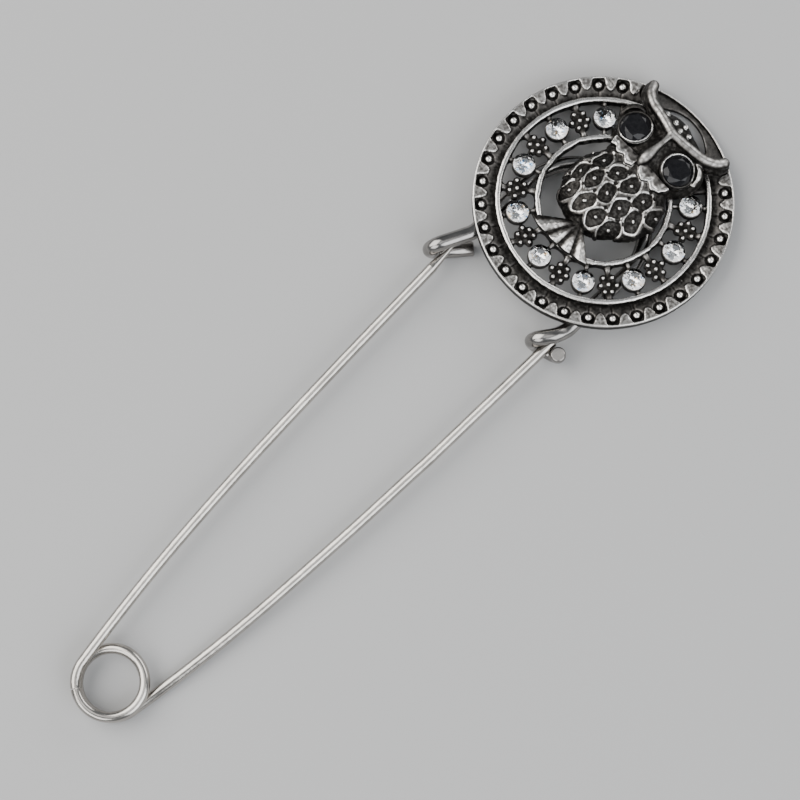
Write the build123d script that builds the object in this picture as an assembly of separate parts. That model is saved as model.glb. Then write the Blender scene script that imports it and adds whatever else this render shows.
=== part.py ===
from build123d import *
from math import asin, atan2, cos, degrees, hypot, radians, sin, sqrt, tan
import os

import numpy as np

os.makedirs("parts", exist_ok=True)

# The brooch lies on its back: a wire pin with a coil at one end, and a pierced disc with an owl at the other.
# All lengths are millimetres and all angles degrees. +Y runs from the coil to the disc, +Z is up from the
# surface it lies on, and the origin is the middle of its outline on that surface.

# Gap kept between neighbouring pieces
PIECE_GAP = 0.1

# Disc: a round dish on a turned-down rim
RIM_RADIUS = 17.9
RIM_WALL = 0.8
LIP_WIDTH = 0.35
LIP_TOP = 1.8
BORDER_WIDTH = 3.1
BORDER_TOP = 1.0
PLATE_BACK = 0.5
PLATE_TOP = 1.4
RING_WIDTH = 0.75
RING_TOP = 2.05
INNER_RING_RADIUS = 9.0
INNER_RING_MARGIN = 0.15
CASTING_TURN = 2.0

# Border beads and the tongues between them
BEAD_RADIUS = 0.55
BEAD_INSET = 1.26
BEAD_COUNT = 28
BEAD_STEP = 11.38
BEAD_SINK = 0.45
PIT_MARGIN = 0.3
TONGUE_TOP = 1.55
TONGUE_NOSE_RADIUS = 0.62
TONGUE_FOOT_WIDTH = 2.3
TONGUE_REACH = 0.85

# Crescent opening in the border behind the head: a round cut, less what the outer ring keeps
CRESCENT_RADIUS = 6.1
CRESCENT_MARGIN = 0.2
CRESCENT_RIM = 0.95

# Clear stones and their cups
STONE_RADIUS = 1.5
STONE_COUNT = 9
STONE_STEP = 33.5
STONE_SIDES = 8
STONE_OUTSET = 0.15
STONE_TABLE_RADIUS = 0.85
STONE_CROWN = 0.42
STONE_GIRDLE = 0.08
STONE_PAVILION = 0.95
STONE_LIFT = 0.43
CUP_WALL = 0.2
CUP_RISE = 0.38
STONE_NECK = 0.6
HIDDEN_SPAN = 74.0

# Flower plates of seven grains between the stones, wide enough to meet the cups
FLOWER_OVERLAP = 0.1
FLOWER_NECK = 0.8
GRAIN_RADIUS = 0.28
GRAIN_CIRCLE = 1.15
GRAIN_COUNT = 6

# Owl: overall sizes, and where its tail ends beyond the inner ring
OWL_HALF_WIDTH = 7.8
OWL_LENGTH = 25.6
OWL_HEIGHT = 4.85
TAIL_OVERHANG = 0.6
OWL_CELL = 0.5
OWL_MARGIN_CELLS = 4
OWL_BLEND = 0.7

# Black eyes
EYE_RADIUS = 2.1
EYE_TABLE_RADIUS = 1.25
EYE_CROWN = 0.45
EYE_GIRDLE = 0.15
EYE_PAVILION = 0.7
EYE_GAP = 0.3
EYE_BEZEL = 0.3
EYE_SPREAD = 4.2
EYE_Y_SHARE = 0.744
EYE_GIRDLE_W_SHARE = 0.55

# Pin wire with its coil
PIN_WIRE_RADIUS = 0.75
COIL_RADIUS = 4.65
COIL_TURN_GAP = 0.12
COIL_CUT_ANGLE = 235.0
COIL_CLEARANCE = 0.01
BENT_LENGTH = 60.0
LEVEL_LENGTH = 2.7
EASE_SHARE = 0.7
HOOK_LEAD = 12.97
PIN_SHAFT_LENGTH = 11.4
PIN_POINT_LENGTH = 5.6
PIN_TIP_RADIUS = 0.08
FIXED_END_LENGTH = 16.0

# Arch wire soldered under the disc, bent into a hook at each end
ARCH_WIRE_RADIUS = 1.05
ARCH_HALF_WIDTH = 9.3
ARCH_TOP = 4.3
ARCH_FLAT = 0.2
ARCH_SINK = 0.15
LEFT_HOOK_REACH = 3.3
RIGHT_HOOK_REACH = 2.3
LEFT_LEG_OUT = 0.2
RIGHT_LEG_OUT = 0.8
HOOK_LOOSENESS = 0.115
HOOK_BEND_SHARE = 0.92
TIP_BEND = 1.3
LEG_BEND = 3.0
TIP_CHAMFER = 0.2
LEFT_TIP_LENGTH = 4.56
RIGHT_TIP_SHIFT = 1.14
RIGHT_KNEE_SHIFT = 2.565
RIGHT_TIP_TOP = 3.75

# How far each arm heads outward along its bent stretch
# columns: share of the bent length, pin arm degrees, fixed arm degrees
ARM_HEADINGS = [
    (0.0, 9.3, 8.8),
    (0.2, 7.4, 6.4),
    (0.4, 4.9, 3.7),
    (0.7, 2.8, 2.5),
    (1.0, 2.1, 0.5),
]

# Where along an arm's bent stretch its smooth curve is pinned down, as shares of the bent length
ARM_STEPS = 400
ARM_STOPS = [0, 0.0225, 0.045, 0.1, 0.2, 0.3, 0.4, 0.55, 0.7, 0.85, 1]

# Smooth lumps of the owl; each row with a half width other than zero is mirrored
# columns: x, y, w of the centre, then half width, half length and height, as shares of the owl's sizes
OWL_LUMPS = [
    (-0.026, 0.400, 0.00, 0.83, 0.258, 0.85),
    (0.026, 0.762, 0.00, 0.95, 0.210, 0.63),
    (0.013, 0.707, 0.47, 0.21, 0.160, 0.36),
]
OWL_PAIRED_LUMPS = [
    (0.372, 0.609, 0.50, 0.36, 0.055, 0.33),
]

# Ridges of the face, as runs of round wire that tapers
# columns: x, y, w of the centre and radius, as shares of the owl's sizes
BROW_BASE = [
    (0.000, 0.843, 0.60, 0.23),
    (0.333, 0.872, 0.54, 0.23),
    (0.641, 0.899, 0.44, 0.24),
    (0.821, 0.936, 0.36, 0.22),
    (0.897, 0.978, 0.30, 0.17),
]
BROW_CREST = [
    (0.000, 0.850, 0.77, 0.12),
    (0.333, 0.877, 0.71, 0.12),
    (0.641, 0.904, 0.61, 0.12),
    (0.821, 0.941, 0.53, 0.12),
    (0.910, 0.992, 0.44, 0.11),
]
BEAK_RIDGE = [
    (0.026, 0.841, 0.75, 0.115),
    (0.013, 0.777, 0.82, 0.075),
    (0.006, 0.661, 0.85, 0.130),
    (0.000, 0.602, 0.82, 0.045),
]

# Tail fan under the body
TAIL_HALF_ANGLE = 52.0
TAIL_PLEATS = 4
TAIL_PLEAT_RISE = 0.3
TAIL_ROOT_RISE = 1.35
TAIL_TIP_RISE = 0.6
TAIL_APEX = (0.077, 0.190)
TAIL_END_RADIUS = 18.2
TAIL_END_SHIFT = -0.97

# Places worked out from the sizes above
OUTER_RING_RADIUS = RIM_RADIUS - BORDER_WIDTH - RING_WIDTH / 2
STONE_CIRCLE = (INNER_RING_RADIUS + OUTER_RING_RADIUS) / 2 + STONE_OUTSET
CUP_RADIUS = STONE_RADIUS + PIECE_GAP + CUP_WALL
FLOWER_RADIUS = 2 * STONE_CIRCLE * sin(radians(STONE_STEP / 4)) - CUP_RADIUS + FLOWER_OVERLAP
ARCH_W = PLATE_BACK + ARCH_SINK - ARCH_WIRE_RADIUS
HOOK_SPREAD = PIN_WIRE_RADIUS + HOOK_LOOSENESS + ARCH_WIRE_RADIUS
HOOK_BEND = HOOK_BEND_SHARE * HOOK_SPREAD
ARCH_BEND = ARCH_HALF_WIDTH - ARCH_FLAT / 2
LOWER_LEG_Z = ARCH_WIRE_RADIUS
ARM_Z = LOWER_LEG_Z + HOOK_SPREAD
UPPER_LEG_Z = ARM_Z + HOOK_SPREAD

# The hooks stand off the rim, and the arms are as long as it takes to pass through them
LEFT_HOOK_STATION = RIM_RADIUS + LEFT_HOOK_REACH
RIGHT_HOOK_STATION = RIM_RADIUS + RIGHT_HOOK_REACH
heading_shares = np.linspace(0, 1, ARM_STEPS)
heading_rows = np.array(ARM_HEADINGS)
pin_headings = np.radians(np.interp(heading_shares, heading_rows[:, 0], heading_rows[:, 1]))
bent_run = BENT_LENGTH * float(np.cos(pin_headings).mean())
coil_run = COIL_RADIUS * sin(radians(ARM_HEADINGS[0][1]))
COIL_TO_DISC = LEFT_HOOK_STATION + HOOK_LEAD + bent_run - coil_run

# The disc leans until its far rim touches the surface and its hooks stand on it
hook_reach = RIM_RADIUS + LEFT_HOOK_STATION
LEAN = degrees(asin(UPPER_LEG_Z / hypot(hook_reach, ARCH_W)) - atan2(ARCH_W, hook_reach))

FRONT_REACH = RIM_RADIUS * cos(radians(LEAN)) + LIP_TOP * sin(radians(LEAN))
BACK_REACH = COIL_TO_DISC + COIL_RADIUS + PIN_WIRE_RADIUS
DISC_Y = (BACK_REACH - FRONT_REACH) / 2
COIL_Y = DISC_Y - COIL_TO_DISC

lean_sin = sin(radians(LEAN))
lean_cos = cos(radians(LEAN))
DISC_PLANE = Plane(
    origin=(0, DISC_Y, RIM_RADIUS * lean_sin),
    x_dir=(1, 0, 0),
    z_dir=(0, lean_sin, lean_cos),
)
CASTING_PLANE = DISC_PLANE.rotated((0, 0, -CASTING_TURN))

COIL_PITCH = 2 * PIN_WIRE_RADIUS + COIL_TURN_GAP
PIN_START_ANGLE = 180 + ARM_HEADINGS[0][1]
FIXED_END_ANGLE = 360 - ARM_HEADINGS[0][2]
OWL_SEAT = RING_TOP + PIECE_GAP
OWL_FOOT_Y = -(INNER_RING_RADIUS + TAIL_OVERHANG)


# Wire work
def on_disc(x, y, w):
    """Point given in the disc's own plane, w above the foot of its rim."""
    return DISC_PLANE.from_local_coords(Vector(x, y, w))


def rod(start, end, radius):
    """Straight round wire between two points."""
    section = Plane(origin=start, z_dir=end - start) * Circle(radius)
    return extrude(section, (end - start).length)


def tapered_end(start, direction, length, radius, end_radius):
    """Cone that continues a wire, as a point or a chamfer."""
    return Plane(origin=start, z_dir=direction) * Cone(
        radius, end_radius, length, align=(Align.CENTER, Align.CENTER, Align.MIN)
    )


def bent_wire(points, bends, radius):
    """Round wire along straight stretches, with a round bend at each inner point."""
    pieces = []
    start = points[0]
    for corner, following, bend in zip(points[1:], points[2:], bends):
        before = (corner - start).normalized()
        after = (following - corner).normalized()
        turn = before.get_angle(after)
        reach = bend * tan(radians(turn) / 2)
        bend_start = corner - before * reach
        pieces.append(rod(start, bend_start, radius))
        bend_axis = before.cross(after).normalized()
        centre = bend_start + bend_axis.cross(before) * bend
        section = Plane(origin=bend_start, z_dir=before) * Circle(radius)
        pieces.append(revolve(section, Axis(centre, bend_axis), turn))
        start = corner + after * reach
    pieces.append(rod(start, points[-1], radius))
    return pieces


def coil_point(angle, z):
    """Point of the coil's centre line."""
    x = COIL_RADIUS * cos(radians(angle))
    y = COIL_Y + COIL_RADIUS * sin(radians(angle))
    return Vector(x, y, z)


def coil_rise(angle):
    """Height of the coil's centre line above its lower end, at an angle counted down to there."""
    return COIL_PITCH * (FIXED_END_ANGLE + 360 - angle) / 360


def coil_piece(low_angle, high_angle, low_z):
    """Stretch of the coil that climbs clockwise between two angles."""
    height = coil_rise(high_angle) - coil_rise(low_angle)
    helix = Helix(COIL_PITCH, height, COIL_RADIUS, lefthand=True)
    path = Pos(0, COIL_Y, low_z + coil_rise(low_angle)) * Rot(0, 0, low_angle) * helix
    section = Plane(origin=path @ 0, z_dir=path % 0) * Circle(PIN_WIRE_RADIUS)
    return sweep(section, path, is_frenet=True)


def arm_route(side, column, start, first_slope):
    """Points of an arm's bent stretch, its direction at the end, and its lowest rise over the start."""
    shares = np.linspace(0, 1, ARM_STEPS + 1)
    middles = (shares[1:] + shares[:-1]) / 2
    rows = np.array(ARM_HEADINGS)
    heading = np.radians(np.interp(middles, rows[:, 0], rows[:, column])) * side
    level = LEVEL_LENGTH / BENT_LENGTH
    climb = ARM_Z - start.Z
    steady = (climb / BENT_LENGTH - first_slope * level / 2) / ((1 + EASE_SHARE - level) / 2)
    slope = np.interp(middles, [0, level, EASE_SHARE, 1], [first_slope, steady, steady, 0])
    stride = BENT_LENGTH / ARM_STEPS
    x = start.X + np.concatenate([[0], np.cumsum(np.sin(heading) * np.cos(slope) * stride)])
    y = start.Y + np.concatenate([[0], np.cumsum(np.cos(heading) * np.cos(slope) * stride)])
    z = start.Z + np.concatenate([[0], np.cumsum(np.sin(slope) * stride)])
    picks = [round(stop * ARM_STEPS) for stop in ARM_STOPS]
    points = [Vector(x[i], y[i], z[i]) for i in picks]
    return points, float(z.min() - start.Z)


def arm_piece(points, first_direction, last_direction):
    """Bent stretch of an arm."""
    path = Spline(points, tangents=[first_direction, last_direction])
    section = Plane(origin=path @ 0, z_dir=path % 0) * Circle(PIN_WIRE_RADIUS)
    return sweep(section, path)


def joined(pieces):
    """One solid from wire pieces that meet end to end."""
    return pieces[0].fuse(*pieces[1:])


helix_slope = atan2(COIL_PITCH, 2 * np.pi * COIL_RADIUS)
fixed_guess = coil_point(FIXED_END_ANGLE, PIN_WIRE_RADIUS)
fixed_dip = arm_route(1, 2, fixed_guess, -helix_slope)[1]
COIL_LOW_Z = PIN_WIRE_RADIUS - fixed_dip + COIL_CLEARANCE


def arm_headings(side, column, slope):
    """Direction along an arm where its bent stretch starts, and where it ends level."""
    first = radians(ARM_HEADINGS[0][column]) * side
    last = radians(ARM_HEADINGS[-1][column]) * side
    first_direction = Vector(sin(first) * cos(slope), cos(first) * cos(slope), sin(slope))
    last_direction = Vector(sin(last), cos(last), 0)
    return first_direction, last_direction


fixed_start = coil_point(FIXED_END_ANGLE, COIL_LOW_Z)
fixed_points = arm_route(1, 2, fixed_start, -helix_slope)[0]
fixed_first, fixed_last = arm_headings(1, 2, -helix_slope)

pin_start = coil_point(PIN_START_ANGLE, COIL_LOW_Z + coil_rise(PIN_START_ANGLE))
pin_points = arm_route(-1, 1, pin_start, helix_slope)[0]
pin_first, pin_last = arm_headings(-1, 1, helix_slope)


def make_fixed_arm():
    """Coil with the arm that the right hook holds."""
    cut_gap = degrees(PIECE_GAP / (COIL_RADIUS - PIN_WIRE_RADIUS))
    coil = coil_piece(FIXED_END_ANGLE + 360, COIL_CUT_ANGLE + cut_gap, COIL_LOW_Z)
    bent = arm_piece(fixed_points, fixed_first, fixed_last)
    straight_end = fixed_points[-1] + fixed_last * (FIXED_END_LENGTH - TIP_CHAMFER)
    straight = rod(fixed_points[-1], straight_end, PIN_WIRE_RADIUS)
    end = tapered_end(
        straight_end, fixed_last, TIP_CHAMFER, PIN_WIRE_RADIUS, PIN_WIRE_RADIUS - TIP_CHAMFER
    )
    return joined([coil, bent, straight, end])


def make_pin_arm():
    """Sharp arm with the first stretch of coil, which springs in and out of the left hook."""
    coil = coil_piece(COIL_CUT_ANGLE, PIN_START_ANGLE, COIL_LOW_Z)
    bent = arm_piece(pin_points, pin_first, pin_last)
    shaft_end = pin_points[-1] + pin_last * PIN_SHAFT_LENGTH
    shaft = rod(pin_points[-1], shaft_end, PIN_WIRE_RADIUS)
    point = tapered_end(shaft_end, pin_last, PIN_POINT_LENGTH, PIN_WIRE_RADIUS, PIN_TIP_RADIUS)
    return joined([coil, bent, shaft, point])


def arm_x(end_point, direction, station):
    """Where an arm's straight end crosses a station, counted back from the middle of the disc."""
    y = DISC_Y - station
    return end_point.X + direction.X * (y - end_point.Y) / direction.Y


def make_arch_wire():
    """Wire under the disc: left hook, arch and right hook, in one length."""
    left_x = arm_x(pin_points[-1], pin_last, LEFT_HOOK_STATION) - HOOK_SPREAD
    right_arm_x = arm_x(fixed_points[-1], fixed_last, RIGHT_HOOK_STATION)
    right_x = right_arm_x - HOOK_SPREAD
    left_y = DISC_Y - LEFT_HOOK_STATION
    right_y = DISC_Y - RIGHT_HOOK_STATION
    left_upper = Vector(left_x, left_y, UPPER_LEG_Z)
    left_lower = Vector(left_x, left_y, LOWER_LEG_Z)
    left_tip = left_lower + Vector(2 * HOOK_SPREAD, LEFT_TIP_LENGTH, 0)
    right_upper = Vector(right_x, right_y, UPPER_LEG_Z)
    right_lower = Vector(right_x, right_y, LOWER_LEG_Z)
    right_outer = right_lower + Vector(2 * HOOK_SPREAD, RIGHT_TIP_SHIFT, 0)
    right_tip = Vector(right_outer.X, right_outer.Y, RIGHT_TIP_TOP - TIP_CHAMFER)
    right_knee = right_upper + Vector(HOOK_SPREAD, RIGHT_KNEE_SHIFT, 0)
    rim_y = -sqrt(RIM_RADIUS**2 - ARCH_HALF_WIDTH**2)
    points = [
        left_tip,
        left_lower,
        left_upper,
        on_disc(-ARCH_HALF_WIDTH, rim_y - LEFT_LEG_OUT, ARCH_W),
        on_disc(-ARCH_HALF_WIDTH, ARCH_TOP, ARCH_W),
        on_disc(ARCH_HALF_WIDTH, ARCH_TOP, ARCH_W),
        on_disc(ARCH_HALF_WIDTH, rim_y - RIGHT_LEG_OUT, ARCH_W),
        right_knee,
        right_upper,
        right_lower,
        right_outer,
        right_tip,
    ]
    bends = [
        HOOK_BEND, HOOK_BEND, LEG_BEND, ARCH_BEND, ARCH_BEND, LEG_BEND, LEG_BEND,
        HOOK_BEND, HOOK_BEND, TIP_BEND,
    ]
    pieces = bent_wire(points, bends, ARCH_WIRE_RADIUS)
    chamfered = ARCH_WIRE_RADIUS - TIP_CHAMFER
    pieces.append(tapered_end(right_tip, Vector(0, 0, 1), TIP_CHAMFER, ARCH_WIRE_RADIUS, chamfered))
    left_out = (left_tip - left_lower).normalized()
    pieces.append(tapered_end(left_tip, left_out, TIP_CHAMFER, ARCH_WIRE_RADIUS, chamfered))
    return joined(pieces)


# Disc casting, built in its own plane
def polar(radius, angle):
    """Placement at a radius and an angle, turned to face outward."""
    return Rot(0, 0, angle) * Pos(radius, 0)


def bead_angles():
    """Angles of the border beads, spread evenly to both sides of the foot of the disc."""
    middle = (BEAD_COUNT - 1) / 2
    return [270 + BEAD_STEP * (i - middle) for i in range(BEAD_COUNT)]


def stone_angles():
    """Angles of the stones, spread evenly to both sides of the foot of the disc."""
    middle = (STONE_COUNT - 1) / 2
    return [270 + STONE_STEP * (i - middle) for i in range(STONE_COUNT)]


def between(angles):
    """Angles halfway between neighbours."""
    return [(first + second) / 2 for first, second in zip(angles, angles[1:])]


def ring_section(radius, width, foot, top):
    """Upright section of a ring with a rounded crest."""
    inner = radius - width / 2
    outer = radius + width / 2
    shoulder = top - width / 2
    outline = [
        Line((inner, foot), (outer, foot)),
        Line((outer, foot), (outer, shoulder)),
        ThreePointArc((outer, shoulder), (radius, top), (inner, shoulder)),
        Line((inner, shoulder), (inner, foot)),
    ]
    return make_face(Plane.XZ * Curve(children=outline))


def border_section():
    """Section of the border: turned-down rim, lip and floor."""
    inner = OUTER_RING_RADIUS
    outline = Polyline(
        (inner, PLATE_BACK),
        (RIM_RADIUS - RIM_WALL, PLATE_BACK),
        (RIM_RADIUS - RIM_WALL, 0),
        (RIM_RADIUS, 0),
        (RIM_RADIUS, LIP_TOP),
        (RIM_RADIUS - LIP_WIDTH, LIP_TOP),
        (RIM_RADIUS - LIP_WIDTH, BORDER_TOP),
        (inner, BORDER_TOP),
        close=True,
    )
    return make_face(Plane.XZ * outline)


def sector(inner, outer, middle_angle, span):
    """Flat piece of a ring between two radii."""
    half = radians(span / 2)
    reach = outer / cos(half)
    wedge = Polygon((0, 0), (reach, -reach * tan(half)), (reach, reach * tan(half)), align=None)
    return (Circle(outer) - Circle(inner)) & (Rot(0, 0, middle_angle) * wedge)


def make_plate():
    """Pierced plate between the rings, with round bosses on radial necks."""
    inner = INNER_RING_RADIUS
    outer = OUTER_RING_RADIUS
    ring_half = RING_WIDTH / 2 + INNER_RING_MARGIN
    outline = Circle(outer + RING_WIDTH / 2) - Circle(outer - ring_half)
    outline += Circle(inner + ring_half) - Circle(inner - RING_WIDTH / 2)
    outline += sector(inner, outer, 90, HIDDEN_SPAN)
    neck_middle = (inner + outer) / 2
    for angle in stone_angles():
        outline += polar(neck_middle, angle) * Rectangle(outer - inner, STONE_NECK)
        outline += polar(STONE_CIRCLE, angle) * Circle(CUP_RADIUS)
    for angle in between(stone_angles()):
        outline += polar(neck_middle, angle) * Rectangle(outer - inner, FLOWER_NECK)
        outline += polar(STONE_CIRCLE, angle) * Circle(FLOWER_RADIUS)
    return Pos(0, 0, PLATE_BACK) * extrude(outline, PLATE_TOP - PLATE_BACK)


def make_tongues():
    """Flat tongues that reach in from the lip between the border beads."""
    lip = RIM_RADIUS - LIP_WIDTH / 2
    nose = RIM_RADIUS - BEAD_INSET - TONGUE_REACH + TONGUE_NOSE_RADIUS
    tongue = Polygon(
        (lip, -TONGUE_FOOT_WIDTH / 2),
        (lip, TONGUE_FOOT_WIDTH / 2),
        (nose, TONGUE_NOSE_RADIUS),
        (nose, -TONGUE_NOSE_RADIUS),
        align=None,
    )
    tongue += Pos(nose, 0) * Circle(TONGUE_NOSE_RADIUS)
    outline = Sketch() + [Rot(0, 0, angle) * tongue for angle in between(bead_angles())]
    bead_circle = RIM_RADIUS - BEAD_INSET
    pits = [polar(bead_circle, angle) * Circle(BEAD_RADIUS + PIT_MARGIN) for angle in bead_angles()]
    outline -= pits
    return Pos(0, 0, PLATE_BACK) * extrude(outline, TONGUE_TOP - PLATE_BACK)


def make_grains():
    """Border beads and the grains of the flower plates."""
    bead_z = BORDER_TOP + BEAD_RADIUS - BEAD_SINK
    grains = [
        polar(RIM_RADIUS - BEAD_INSET, angle) * Pos(0, 0, bead_z) * Sphere(BEAD_RADIUS)
        for angle in bead_angles()
    ]
    for angle in between(stone_angles()):
        middle = polar(STONE_CIRCLE, angle) * Pos(0, 0, PLATE_TOP)
        grains.append(middle * Sphere(GRAIN_RADIUS))
        for i in range(GRAIN_COUNT):
            place = polar(GRAIN_CIRCLE, 360 * (i + 1 / 2) / GRAIN_COUNT)
            grains.append(middle * place * Sphere(GRAIN_RADIUS))
    return grains


def pavilion_section(radius, depth, clearance, top):
    """Half section of the pocket under a pointed stone whose girdle foot is at zero."""
    slope = depth / radius
    drop = clearance * sqrt(1 + slope**2)
    pocket_radius = radius + clearance
    outline = Polyline(
        (0, -depth - drop),
        (pocket_radius, -depth - drop + slope * pocket_radius),
        (pocket_radius, top),
        (0, top),
        close=True,
    )
    return make_face(Plane.XZ * outline)


CUP_TOP = PLATE_TOP + CUP_RISE
STONE_GIRDLE_W = PLATE_TOP + STONE_LIFT


def make_disc():
    """Disc casting in its own plane, with open pockets for the stones."""
    rings = revolve(ring_section(OUTER_RING_RADIUS, RING_WIDTH, PLATE_BACK, RING_TOP), Axis.Z)
    inner_ring = revolve(ring_section(INNER_RING_RADIUS, RING_WIDTH, PLATE_BACK, RING_TOP), Axis.Z)
    border = revolve(border_section(), Axis.Z)
    crescent = Pos(0, RIM_RADIUS - CRESCENT_RIM - CRESCENT_RADIUS) * Circle(CRESCENT_RADIUS)
    crescent -= Circle(OUTER_RING_RADIUS + RING_WIDTH / 2 + CRESCENT_MARGIN)
    border -= Pos(0, 0, -LIP_TOP) * extrude(crescent, 3 * LIP_TOP)
    cup = Cylinder(
        CUP_RADIUS, CUP_TOP - PLATE_BACK, align=(Align.CENTER, Align.CENTER, Align.MIN)
    )
    pocket = revolve(pavilion_section(STONE_RADIUS, STONE_PAVILION, PIECE_GAP, CUP_RISE), Axis.Z)
    cups = [polar(STONE_CIRCLE, angle) * Pos(0, 0, PLATE_BACK) * cup for angle in stone_angles()]
    pockets = [
        polar(STONE_CIRCLE, angle) * Pos(0, 0, STONE_GIRDLE_W) * pocket for angle in stone_angles()
    ]
    disc = make_plate().fuse(rings, inner_ring, border, make_tongues(), *cups)
    disc = disc.cut(*pockets)
    return disc.fuse(*make_grains())


# Cut stones
def flat_face(points):
    """Flat face with straight sides."""
    return Face(Wire.make_polygon(points, close=True))


def circle_points(radius, count, first_angle, z):
    """Points spread evenly round a circle."""
    step = 360 / count
    return [polar(radius, first_angle + step * i).position + Vector(0, 0, z) for i in range(count)]


def cut_stone(radius, table_radius, crown, girdle, pavilion):
    """Round stone with a flat table, three crown facets to each of its sides and a pointed back."""
    around = 2 * STONE_SIDES
    table = circle_points(table_radius, STONE_SIDES, 360 / around, girdle + crown)
    upper = circle_points(radius, around, 0, girdle)
    lower = circle_points(radius, around, 0, 0)
    culet = Vector(0, 0, -pavilion)
    faces = [flat_face(table)]
    for i in range(STONE_SIDES):
        corner = table[i]
        following = table[(i + 1) % STONE_SIDES]
        star = upper[(2 * i + 2) % around]
        faces.append(flat_face([corner, following, star]))
        faces.append(flat_face([corner, upper[2 * i], upper[2 * i + 1]]))
        faces.append(flat_face([corner, upper[2 * i + 1], star]))
    for i in range(around):
        following = (i + 1) % around
        faces.append(flat_face([upper[i], upper[following], lower[following], lower[i]]))
        faces.append(flat_face([lower[i], lower[following], culet]))
    return Solid(Shell(faces))


# Owl, worked out as a smooth field on a grid and wrapped in triangles
def owl_point(x, y, w):
    """Point in the disc's plane from shares of the owl's sizes."""
    return np.array([x * OWL_HALF_WIDTH, OWL_FOOT_Y + y * OWL_LENGTH, OWL_SEAT + w * OWL_HEIGHT])


def blended(first, second, reach):
    """Union of two fields with a soft valley between them."""
    mix = np.clip(0.5 + 0.5 * (second - first) / reach, 0, 1)
    return second + (first - second) * mix - reach * mix * (1 - mix)


def lump(grid, row, side):
    """Field of an ellipsoid from a table row."""
    centre = owl_point(side * row[0], row[1], row[2])
    sizes = [row[3] * OWL_HALF_WIDTH, row[4] * OWL_LENGTH, row[5] * OWL_HEIGHT]
    near = sum(((axis - c) / s) ** 2 for axis, c, s in zip(grid, centre, sizes)) ** 0.5
    steep = sum(((axis - c) / s**2) ** 2 for axis, c, s in zip(grid, centre, sizes)) ** 0.5
    return near * (near - 1) / np.maximum(steep, 1e-6)


def ridge(grid, rows, side):
    """Field of a tapering round ridge along table rows."""
    field = np.full(grid[0].shape, 100.0)
    points = [owl_point(side * row[0], row[1], row[2]) for row in rows]
    radii = [row[3] * OWL_HEIGHT for row in rows]
    for start, end, first, last in zip(points, points[1:], radii, radii[1:]):
        run = end - start
        offset = [axis - s for axis, s in zip(grid, start)]
        share = np.clip(sum(o * r for o, r in zip(offset, run)) / (run @ run), 0, 1)
        distance = sum((o - share * r) ** 2 for o, r in zip(offset, run)) ** 0.5
        field = np.minimum(field, distance - (first + (last - first) * share))
    return field


def tail_fan(grid):
    """Field of the pleated tail, which ends in a shallow arc beyond the inner ring."""
    x, y, w = grid
    apex = owl_point(TAIL_APEX[0], TAIL_APEX[1], 0)
    across = x - apex[0]
    down = apex[1] - y
    angle = np.degrees(np.arctan2(across, down))
    spread = np.hypot(across, down)
    pleat = (angle / TAIL_HALF_ANGLE + 1) * TAIL_PLEATS / 2
    crease = np.abs(pleat - np.round(pleat)) * 2
    reach = abs(OWL_FOOT_Y) + apex[1]
    slope = TAIL_ROOT_RISE + (TAIL_TIP_RISE - TAIL_ROOT_RISE) * np.clip(spread / reach, 0, 1.2)
    top = w - OWL_SEAT - slope - TAIL_PLEAT_RISE * crease
    side = spread * np.sin(np.radians(np.clip(np.abs(angle) - TAIL_HALF_ANGLE, -90, 90)))
    end = np.hypot(x - TAIL_END_SHIFT, y - OWL_FOOT_Y - TAIL_END_RADIUS) - TAIL_END_RADIUS
    return np.maximum(np.maximum(top, side), end)


def eye_place(side):
    """Middle of an eye's girdle foot, in the disc's plane."""
    point = owl_point(side * EYE_SPREAD / OWL_HALF_WIDTH, EYE_Y_SHARE, EYE_GIRDLE_W_SHARE)
    return Vector(*point)


def owl_field(grid):
    """Field of the whole owl, below zero inside it."""
    field = lump(grid, OWL_LUMPS[0], 1)
    for row in OWL_LUMPS[1:]:
        field = blended(field, lump(grid, row, 1), OWL_BLEND)
    for side in (-1, 1):
        for row in OWL_PAIRED_LUMPS:
            field = blended(field, lump(grid, row, side), OWL_BLEND)
        field = blended(field, ridge(grid, BROW_BASE, side), OWL_BLEND)
    for side in (-1, 1):
        place = eye_place(side)
        across = np.hypot(grid[0] - place.X, grid[1] - place.Y)
        bezel_radius = EYE_RADIUS + EYE_GAP
        socket = np.maximum(across - bezel_radius - EYE_BEZEL, grid[2] - place.Z)
        bezel = np.hypot(across - bezel_radius, grid[2] - place.Z) - EYE_BEZEL
        field = blended(field, np.minimum(socket, bezel), OWL_BLEND / 2)
        floor = place.Z - EYE_PAVILION - EYE_GAP
        pocket = np.maximum(across - bezel_radius, floor - grid[2])
        field = np.maximum(field, -pocket)
        field = np.minimum(field, ridge(grid, BROW_CREST, side))
    field = np.minimum(field, ridge(grid, BEAK_RIDGE, 1))
    field = np.minimum(field, tail_fan(grid))
    return np.maximum(field, OWL_SEAT - grid[2])


def without_checkerboards(field, nudge):
    """Sampled field in which no grid square has just two opposite corners inside."""
    field = field.copy()
    found = True
    while found:
        found = False
        for u, v in ((0, 1), (1, 2), (0, 2)):
            squares = []
            for start_u, start_v in ((0, 0), (1, 1), (1, 0), (0, 1)):
                slices = [slice(None)] * 3
                slices[u] = slice(start_u, field.shape[u] - 1 + start_u)
                slices[v] = slice(start_v, field.shape[v] - 1 + start_v)
                squares.append(field[tuple(slices)])
            for first, second, third, fourth in (squares, squares[2:] + squares[:2]):
                crossed = (first < 0) & (second < 0) & (third >= 0) & (fourth >= 0)
                third[crossed & (third <= fourth)] = -nudge
                fourth[crossed & (third > fourth)] = -nudge
                found = found or bool(crossed.any())
    return field


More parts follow.
